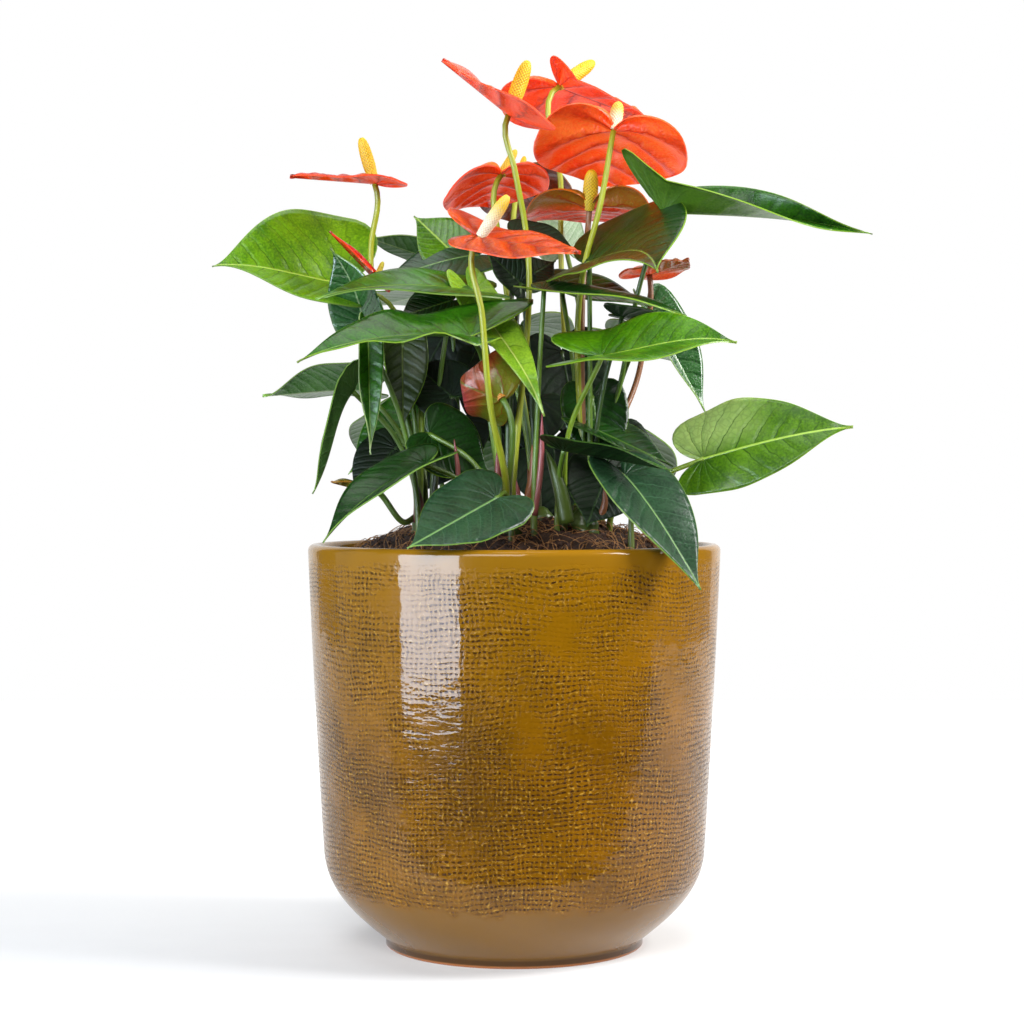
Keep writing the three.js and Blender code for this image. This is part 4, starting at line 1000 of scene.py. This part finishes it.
for row in BLOOMS:
    name, foot, spadix_tip = row[0], Vector(row[2]), Vector(row[6])
    length = (spadix_tip - foot).length
    widest = min(SPADIX_WIDEST, length * (STOUT if name in STOUT_ONES else SLIM))
    bm = bmesh.new()
    flat_map = bm.loops.layers.uv.new("Blade")
    vein_map = bm.loops.layers.uv.new("Veins")
    add_tube(bm, SPIKE_SIDES, SPIKE_RINGS)
    turn = Vector((0, 0, 1)).rotation_difference(spadix_tip - foot)
    start = foot + (spadix_tip - foot).normalized() * GAP / 2
    maps = {}
    for vert in bm.verts:
        share = vert.co.z + 0.5
        angle = math.atan2(vert.co.y, vert.co.x)
        height = share * (length - GAP)
        left = math.sin(angle * FLORETS_ROUND / 2 + math.pi * height / FLORET_PITCH)
        right = math.sin(angle * FLORETS_ROUND / 2 - math.pi * height / FLORET_PITCH)
        floret = abs(left * right) ** 0.6
        swell = SPADIX_BASE + (widest - SPADIX_BASE) * min(share * 2.5, 1)
        round_tip = math.sqrt(max(1 - (share * 0.985) ** 6, 0))
        radius = swell * round_tip * (FLORET_GAP + FLORET_RISE * floret)
        maps[vert] = (floret, share, angle, height)
        around = Vector((math.cos(angle) * radius, math.sin(angle) * radius, height))
        vert.co = (start + turn @ around) * MM
    for f in bm.faces:
        f.smooth = len(f.verts) == 4
        for loop in f.loops:
            floret, share, angle, height = maps[loop.vert]
            loop[flat_map].uv = (angle / math.tau * MAP_ROUND, height)
            loop[vein_map].uv = (floret, share)
    bmesh.ops.recalc_face_normals(bm, faces=bm.faces)
    look = SPADIX_LOOKS[LOOK_OF_BLOOM[name][2]]
    finish_piece(bm, "spike_" + name, [look], "spadix", "spadix_" + name)
print("spadices made:", len(BLOOMS))

# %% [markdown]
# ## Crowns and sheaths
# Each young plant has a short knobbly crown in the soil. Thin dry sheaths, the remains of older
# leaves, stand round the stems.

# %% Crowns and sheaths
KNOB_SHOULDER, KNOB_CLOSING = 0.55, 0.21
SHEATH_LEAN = (1.5, 0, 0)
SHEATH_LOOKS = ("crown", "sheath", "dry")


def add_knob(bm, x, y, material):
    """A crown: a squat ringed stem that narrows above its shoulder."""
    points = [(x, y, ROOT_DEPTH), (x, y, CROWN_TOP - 10), (x, y, CROWN_TOP)]

    def radius_at(t):
        rings = 0.35 * math.sin(t * 40)
        narrowed = max(t - KNOB_SHOULDER, 0)**2 / KNOB_CLOSING
        return CROWN_RADIUS * math.sqrt(max(1 - narrowed, 0.02)) + rings

    add_stem(bm, points, radius_at, material, pieces=22, sides=20)


# Sheaths of each plant: foot, tip, radius and look.
SHEATHS = {
    "front": [((-30, -44, 236), (-31, -46, 269), 1.4, "sheath"),
              ((-11, -56, 232), (-9, -60, 262), 2.2, "sheath"),
              ((0, -62, 228), (1, -66, 248), 1.6, "sheath"),
              ((10, -60, 230), (14, -62, 282), 1.7, "sheath"),
              ((7, -58, 238), (9, -60, 266), 2.2, "dry"),
              ((27, -52, 226), (16, -54, 264), 3.8, "crown")],
    "right": [((44, -46, 228), (46, -50, 244), 1.8, "dry")],
    "left": [((-50, -32, 226), (-53, -36, 250), 2.6, "sheath")],
    "centre": [((8, -20, 228), (7, -23, 254), 2.2, "dry")],
    "back_left": [((-24, 34, 226), (-26, 38, 250), 2.4, "sheath")],
    "back_right": [((38, 38, 226), (40, 42, 252), 2.4, "sheath")],
}

for plant, (x, y) in CROWNS.items():
    bm = bmesh.new()
    add_knob(bm, x, y, 0)
    for foot, tip, radius, look in SHEATHS[plant]:
        middle = [(a + b) / 2 + lean for a, b, lean in zip(foot, tip, SHEATH_LEAN)]
        add_stem(bm, [foot, middle, tip], lambda t: radius * (1 - t**3) + 0.15,
                 SHEATH_LOOKS.index(look), pieces=14, sides=14)
    looks = [STEM_LOOKS[look] for look in SHEATH_LOOKS]
    finish_piece(bm, "crown_" + plant, looks, "leaf", "plant_" + plant)
print("crowns made:", len(CROWNS))

# %% [markdown]
# ## Pot
# The pot was cast in a mould that burlap had been pressed into, then dipped in an ochre glaze. The
# glaze pooled dark between the raised threads, and that dark is painted shade as well, since the
# bump casts none. Light flecks on the threads are painted glints, where light would catch their
# relief. The glaze is lighter towards the top. It is smooth at the lip and near the foot. The
# band over the foot is tan, partly its own colour and partly a painted reflection of the table,
# and below it the foot ring is darker, with the bare clay in a thin line at the bottom. A UV map
# that counts the threads carries the weave, so that it goes round the pot without a seam. The
# glaze is a clear coat over the colour. The coat shows less in the gaps between the threads, and
# it ran in waves low down, which break up the mirror image of the lamp.

# %% Weave of the burlap
THREAD = 2.6
THREADS_ROUND = 254
WEAVE_TOP, WEAVE_FOOT = 204, 34

glaze, tree, shader = new_material("Glazed_pot_burlap_impression")
on_pot = node(tree, "TexCoord").outputs["Object"]
pot_axes = node(tree, "SeparateXYZ", {0: on_pot})
height_mm = node(tree, "Math", {0: pot_axes.outputs[2], 1: 1000.0}, operation="MULTIPLY")
straight = node(tree, "UVMap", uv_map="Threads")
wander = node(tree, "TexNoise", {"Vector": on_pot, "Scale": 150.0, "Detail": 2.0})
drift = node(tree, "TexNoise", {"Vector": on_pot, "Scale": 16.0, "Detail": 1.0})
shift = node(tree, "VectorMath", {0: wander.outputs[1], 1: (1.5, 1.1, 0.0), 2: straight},
             operation="MULTIPLY_ADD")
pushed = node(tree, "VectorMath", {0: drift.outputs[1], 1: (6.0, 5.0, 0.0), 2: shift},
              operation="MULTIPLY_ADD")
threads = node(tree, "SeparateXYZ", {0: pushed})
across_warp = node(tree, "Math", {0: threads.outputs[0], 1: 0.5}, operation="PINGPONG")
across_weft = node(tree, "Math", {0: threads.outputs[1], 1: 0.5}, operation="PINGPONG")
warp_gap = node(tree, "MapRange", {"Value": across_warp, 1: 0.2, 2: 0.36, 3: 1.0, 4: 0.0})
weft_gap = node(tree, "MapRange", {"Value": across_weft, 1: 0.1, 2: 0.24, 3: 1.0, 4: 0.0})
thread_gap = node(tree, "MapRange", {"Value": across_warp, 1: 0.03, 2: 0.2, 3: 1.0, 4: 0.0})
spots = node(tree, "TexNoise", {"Vector": pushed, "Scale": 0.75, "Detail": 2.0})
open_hole = node(tree, "MapRange", {"Value": spots, 1: 0.33, 2: 0.45})
crossing = node(tree, "Math", {0: weft_gap, 1: warp_gap}, operation="MULTIPLY")
hole = node(tree, "Math", {0: crossing, 1: open_hole}, operation="MULTIPLY")
dashes = []
for gap, stretch in ((weft_gap, (0.35, 1.0, 1.0)), (thread_gap, (1.0, 0.3, 1.0))):
    along_thread = node(tree, "VectorMath", {0: pushed, 1: stretch}, operation="MULTIPLY")
    broken = node(tree, "TexNoise", {"Vector": along_thread, "Scale": 1.0, "Detail": 2.0})
    dash = node(tree, "MapRange", {"Value": broken, 1: 0.48, 2: 0.62, 4: 0.6})
    dashes.append(node(tree, "Math", {0: gap, 1: dash}, operation="MULTIPLY"))
furrows = node(tree, "Math", {0: dashes[0], 1: dashes[1]}, operation="MAXIMUM")
gaps = node(tree, "Math", {0: furrows, 1: hole}, operation="MAXIMUM")
print("threads round the pot:", THREADS_ROUND, "of", THREAD, "mm")

# %% Where the weave shows
wear = node(tree, "TexNoise", {"Vector": on_pot, "Scale": 34.0, "Detail": 5.0, "Roughness": 0.65})
lower = node(tree, "MapRange", {"Value": height_mm, 1: 60.0, 2: 150.0, 3: 0.10, 4: 0.0})
worn = node(tree, "Math", {0: wear, 1: lower})
kept = node(tree, "MapRange", {"Value": worn, 1: 0.38, 2: 0.6, 3: 0.09, 4: 1.0})
ragged = node(tree, "TexNoise", {"Vector": on_pot, "Scale": 90.0, "Detail": 4.0})
ragged_mm = node(tree, "Math", {0: ragged, 1: 14.0, 2: height_mm}, operation="MULTIPLY_ADD")
above_foot = node(tree, "MapRange", {"Value": ragged_mm, 1: WEAVE_FOOT + 5, 2: WEAVE_FOOT + 9})
below_lip = node(tree, "MapRange", {"Value": ragged_mm, 1: WEAVE_TOP + 5, 2: WEAVE_TOP + 10,
                                    3: 1.0, 4: 0.0})
woven = node(tree, "Math", {0: above_foot, 1: below_lip}, operation="MULTIPLY")
strong = node(tree, "Math", {0: woven, 1: kept}, operation="MULTIPLY")
hollow = node(tree, "Math", {0: gaps, 1: strong}, operation="MULTIPLY")
print("weave from", WEAVE_FOOT, "to", WEAVE_TOP, "mm")

# %% Colours of the glaze
clouds = node(tree, "TexNoise", {"Vector": on_pot, "Scale": 26.0, "Detail": 6.0, "Roughness": 0.6})
cloud = node(tree, "MapRange", {"Value": clouds, 1: 0.35, 2: 0.65})
# The glaze is lighter towards the top, from 110 mm up.
lighter_towards_top = node(tree, "MapRange", {"Value": height_mm, 1: 110.0, 2: 205.0, 4: 0.75})
lumps = node(tree, "TexNoise", {"Vector": pushed, "Scale": 1.5, "Detail": 3.0})
# Painted highlights: light glints on the raised lumps, where light would catch the threads.
glint_highlight = node(tree, "MapRange", {"Value": lumps, 1: 0.55, 2: 0.72, 4: 0.7})
lit = node(tree, "Math", {0: glint_highlight, 1: strong}, operation="MULTIPLY")
# A tan band over the foot: partly the glaze's own colour, partly a painted reflection of the table.
foot_band_and_reflection = node(tree, "MapRange", {"Value": ragged_mm, 1: WEAVE_FOOT + 3, 2: WEAVE_FOOT + 8,
                                   3: 0.9, 4: 0.0})
lip_band = node(tree, "MapRange", {"Value": ragged_mm, 1: WEAVE_TOP + 2, 2: WEAVE_TOP + 12,
                                   4: 0.8})
# Below about 4.5 mm the foot ring is darker.
foot_line = node(tree, "MapRange", {"Value": height_mm, 1: 3.6, 2: 5.4, 3: 1.0, 4: 0.0})
bare_clay = node(tree, "MapRange", {"Value": height_mm, 1: 1.0, 2: 1.7, 3: 1.0, 4: 0.0})
paint = node(tree, "Mix", {0: cloud, 6: linear("#6A4400"), 7: linear("#8A5A04")}, data_type="RGBA")
# The gaps between the threads get a dark colour: glaze pooled there, and painted shade as well.
for amount, code in ((lighter_towards_top, "#9C6C04"), (lit, "#D0A038"), (hollow, "#452800"),
                     (foot_band_and_reflection, "#7C5824"), (lip_band, "#966A14"), (foot_line, "#4E3110"),
                     (bare_clay, "#A8683A")):
    paint = node(tree, "Mix", {0: amount, 6: paint, 7: linear(code)}, data_type="RGBA")
matt = node(tree, "MapRange", {"Value": hollow, 3: 0.22, 4: 0.4})
plug(shader, {"Base Color": paint, "Roughness": matt, "IOR": 1.55, "Specular IOR Level": 0.06})
print("glaze painted in", len([n for n in tree.nodes if n.type == "MIX"]), "layers")

# %% Relief and clear coat of the glaze
rise = node(tree, "Math", {0: lumps, 1: strong}, operation="MULTIPLY")
sink = node(tree, "Math", {0: hollow, 1: -0.8, 2: rise}, operation="MULTIPLY_ADD")
relief = node(tree, "Math", {0: clouds, 1: 0.8, 2: sink}, operation="MULTIPLY_ADD")
bump = node(tree, "Bump", {"Height": relief, "Strength": 1.0, "Distance": 0.9 * MM})
swells = node(tree, "TexNoise", {"Vector": on_pot, "Scale": 70.0, "Detail": 2.0})
flattened = node(tree, "VectorMath", {0: on_pot, 1: (1.0, 1.0, 2.8)}, operation="MULTIPLY")
waves = node(tree, "TexNoise", {"Vector": flattened, "Scale": 85.0, "Detail": 2.0})
low_down = node(tree, "MapRange", {"Value": height_mm, 1: 125.0, 2: 172.0, 3: 1.3, 4: 0.0})
rolling = node(tree, "Math", {0: waves, 1: low_down, 2: swells}, operation="MULTIPLY_ADD")
dented = node(tree, "Math", {0: hollow, 1: -0.1, 2: rolling}, operation="MULTIPLY_ADD")
skin = node(tree, "Math", {0: dented, 1: woven}, operation="MULTIPLY")
wavy = node(tree, "Bump", {"Height": skin, "Strength": 1.0, "Distance": 0.2 * MM})
wet = node(tree, "MapRange", {"Value": hollow, 3: 0.43, 4: 0.2})
plug(shader, {"Normal": bump, "Coat Normal": wavy, "Coat Weight": wet, "Coat IOR": 1.6,
              "Coat Roughness": 0.03})
print("glaze nodes:", len(tree.nodes))

# %% The thrown shape
LIP_RADIUS, POT_HEIGHT, WALL = 110, 214, 7
FOOT_RADIUS, FOOT_HEIGHT = 68.8, 4.5
SHOULDER = (101.8, 52)
SHELL_MERGE = 0.00001
POT_STEPS, SOIL_STEPS = 144, 150


def bezier(points, pieces):
    """Points along a curve with two, three or four control points."""
    made = []
    for k in range(pieces + 1):
        level = [Vector(p) for p in points]
        while len(level) > 1:
            level = [a.lerp(b, k / pieces) for a, b in zip(level, level[1:])]
        made.append(tuple(level[0]))
    return made


def spun(profile, steps):
    """Turns a profile of radius and height in mm round the upright axis into a closed shell."""
    bm = bmesh.new()
    line = [bm.verts.new((r * MM, 0, z * MM)) for r, z in profile]
    edges = [bm.edges.new(ends) for ends in zip(line, line[1:])]
    bmesh.ops.spin(bm, geom=line + edges, cent=(0, 0, 0), axis=(0, 0, 1), angle=math.tau,
                   steps=steps, use_merge=True)
    bmesh.ops.remove_doubles(bm, verts=bm.verts, dist=SHELL_MERGE)
    bmesh.ops.recalc_face_normals(bm, faces=bm.faces)
    for f in bm.faces:
        f.smooth = True
    return bm


lip = POT_HEIGHT - WALL / 2
inner = [(LIP_RADIUS - WALL - 0.6, 190), (SHOULDER[0] - WALL, SHOULDER[1]), (88, 30),
         (FOOT_RADIUS, 12)]
outer = bezier([(FOOT_RADIUS + 0.7, FOOT_HEIGHT + 0.5), (84, 17), (101, 30), SHOULDER], 22)
wall = bezier([SHOULDER, (106.6, 128), (LIP_RADIUS, lip)], 40)[1:-1]
lip_round = [(LIP_RADIUS - WALL / 2 + WALL / 2 * math.cos(a), lip + WALL / 2 * math.sin(a))
             for a in [math.pi * k / 14 for k in range(15)]]
foot_ring = [(FOOT_RADIUS - 0.8, 0), (FOOT_RADIUS, 0.8), (FOOT_RADIUS, FOOT_HEIGHT - 0.3)]

bm = spun([(0, 0), *foot_ring, *outer, *wall, *lip_round, *inner, (0, 12)], POT_STEPS)
thread_map = bm.loops.layers.uv.new("Threads")
for f in bm.faces:
    middle = math.atan2(f.calc_center_median().y, f.calc_center_median().x)
    for loop in f.loops:
        x, y, z = loop.vert.co / MM
        angle = math.atan2(y, x)
        angle += math.tau * round((middle - angle) / math.tau)
        loop[thread_map].uv = (angle / math.tau * THREADS_ROUND, z / THREAD)
pot = finish_piece(bm, "pot_glazed", [glaze], "glazed_pot", "pot")
print("pot faces:", len(pot.data.polygons))

# %% [markdown]
# ## Soil
# The soil is coarse coir: a heap of dark crumbs with reddish-brown fibres that curl out of it. The
# heap is one closed body with a rough top. The crumbs and fibres are small simple pieces, many
# times over, so each has only a few faces.

# %% Coir materials
def coir(name, dark, light, scale, depth):
    """Dry plant matter, mottled and rough, with a relief of the given depth in mm."""
    material, tree, shader = new_material(name)
    on_soil = node(tree, "TexCoord").outputs["Object"]
    grains = node(tree, "TexNoise", {"Vector": on_soil, "Scale": scale, "Detail": 8.0,
                                     "Roughness": 0.7})
    mottled = node(tree, "MapRange", {"Value": grains, 1: 0.35, 2: 0.68})
    tone = node(tree, "Mix", {0: mottled, 6: linear(dark), 7: linear(light)}, data_type="RGBA")
    bump = node(tree, "Bump", {"Height": grains, "Strength": 1.0, "Distance": depth * MM})
    rough = node(tree, "MapRange", {"Value": grains, 3: 0.75, 4: 0.95})
    plug(shader, {"Base Color": tone, "Normal": bump, "Roughness": rough})
    return material


SOIL_LOOKS = [
    coir("Coir_soil", "#1E120B", "#5C3C28", 420.0, 2.5),
    coir("Coir_fibre_red_brown", "#6A3F22", "#C49058", 900.0, 0.2),
    coir("Coir_crumb_dark", "#20130C", "#5A3A28", 700.0, 0.6),
]
print("soil materials:", len(SOIL_LOOKS))

# %% The heap
SOIL_TOP, SOIL_EDGE, SOIL_RADIUS = 226, 201, 101.5
HEAP_RINGS = 60


def soil_height(x, y):
    """Height of the heap in mm."""
    share = min(math.hypot(x, y) / SOIL_RADIUS, 1)
    waves = math.sin(x * 0.21 + 1) * math.cos(y * 0.17) + 0.6 * math.sin(x * 0.09 - y * 0.34)
    return SOIL_TOP - (SOIL_TOP - SOIL_EDGE) * share**2.6 + 1.4 * waves * (1 - share**6)


random.seed(7)
top_edge = LIP_RADIUS - WALL - 1.2
heap_top = [(top_edge * k / HEAP_RINGS, SOIL_EDGE) for k in range(HEAP_RINGS + 1)]
heap_side = [(r - 0.5, z + 0.5) for r, z in inner]
bm = spun([*heap_top, *heap_side, (0, 12.5)], SOIL_STEPS)
for vert in bm.verts:
    if vert.co.z > (SOIL_EDGE - 1) * MM:
        x, y = vert.co.x / MM, vert.co.y / MM
        vert.co.z = (soil_height(x, y) + random.uniform(-1.2, 1.2)) * MM
heap = finish_piece(bm, "soil_heap", [SOIL_LOOKS[0]], "coir_soil", "soil")
print("heap faces:", len(heap.data.polygons))

# %% Fibres and crumbs
FIBRES, CRUMBS = 700, 1100
FIBRE_REACH, CRUMB_REACH, SOIL_WITHIN = 98, 99, 99

bm = bmesh.new()
for _ in range(FIBRES):
    angle, reach = random.uniform(0, math.tau), FIBRE_REACH * math.sqrt(random.random())
    x, y = reach * math.cos(angle), reach * math.sin(angle)
    heading, span = random.uniform(0, math.tau), random.uniform(8, 26)
    points = []
    for k in range(4):
        arch = math.sin(math.pi * k / 3) * random.uniform(1, 6) - 0.6
        px = x + span * k / 3 * math.cos(heading) + random.uniform(-2, 2)
        py = y + span * k / 3 * math.sin(heading) + random.uniform(-2, 2)
        tight = min(1, SOIL_WITHIN / max(math.hypot(px, py), 1))
        points.append((px * tight, py * tight, soil_height(px * tight, py * tight) + arch))
    thick = random.uniform(0.15, 0.42)
    add_stem(bm, points, lambda t: thick * (1 - 0.5 * t), 0, pieces=9, sides=4)
finish_piece(bm, "soil_fibres", [SOIL_LOOKS[1]], "coir_soil", "soil")

bm = bmesh.new()
for _ in range(CRUMBS):
    angle, reach = random.uniform(0, math.tau), CRUMB_REACH * math.sqrt(random.random())
    x, y = reach * math.cos(angle), reach * math.sin(angle)
    size = random.uniform(0.8, 2.6)
    grow = Matrix.Diagonal((size * random.uniform(0.7, 1.6), size, size * 0.7, 1))
    turn = Quaternion((random.random(), random.random(), random.random()),
                      random.uniform(0, 6)).to_matrix().to_4x4()
    at = Matrix.Translation((x, y, soil_height(x, y) + size * 0.2))
    bmesh.ops.create_icosphere(bm, subdivisions=1, radius=0.8,
                               matrix=Matrix.Scale(MM, 4) @ at @ turn @ grow)
finish_piece(bm, "soil_crumbs", [SOIL_LOOKS[2]], "coir_soil", "soil")
print("fibres and crumbs:", FIBRES, CRUMBS)

# %% [markdown]
# ## Last step
# The box of the dressed model is kept beside the box of the plain one, to see that nothing grew.

# %% Sizes and finish
both = {"cad": [list(c) for c in cad_box], "visual": [list(c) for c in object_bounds()]}
print({k: [[round(c, 4) for c in corner] for corner in box] for k, box in both.items()})
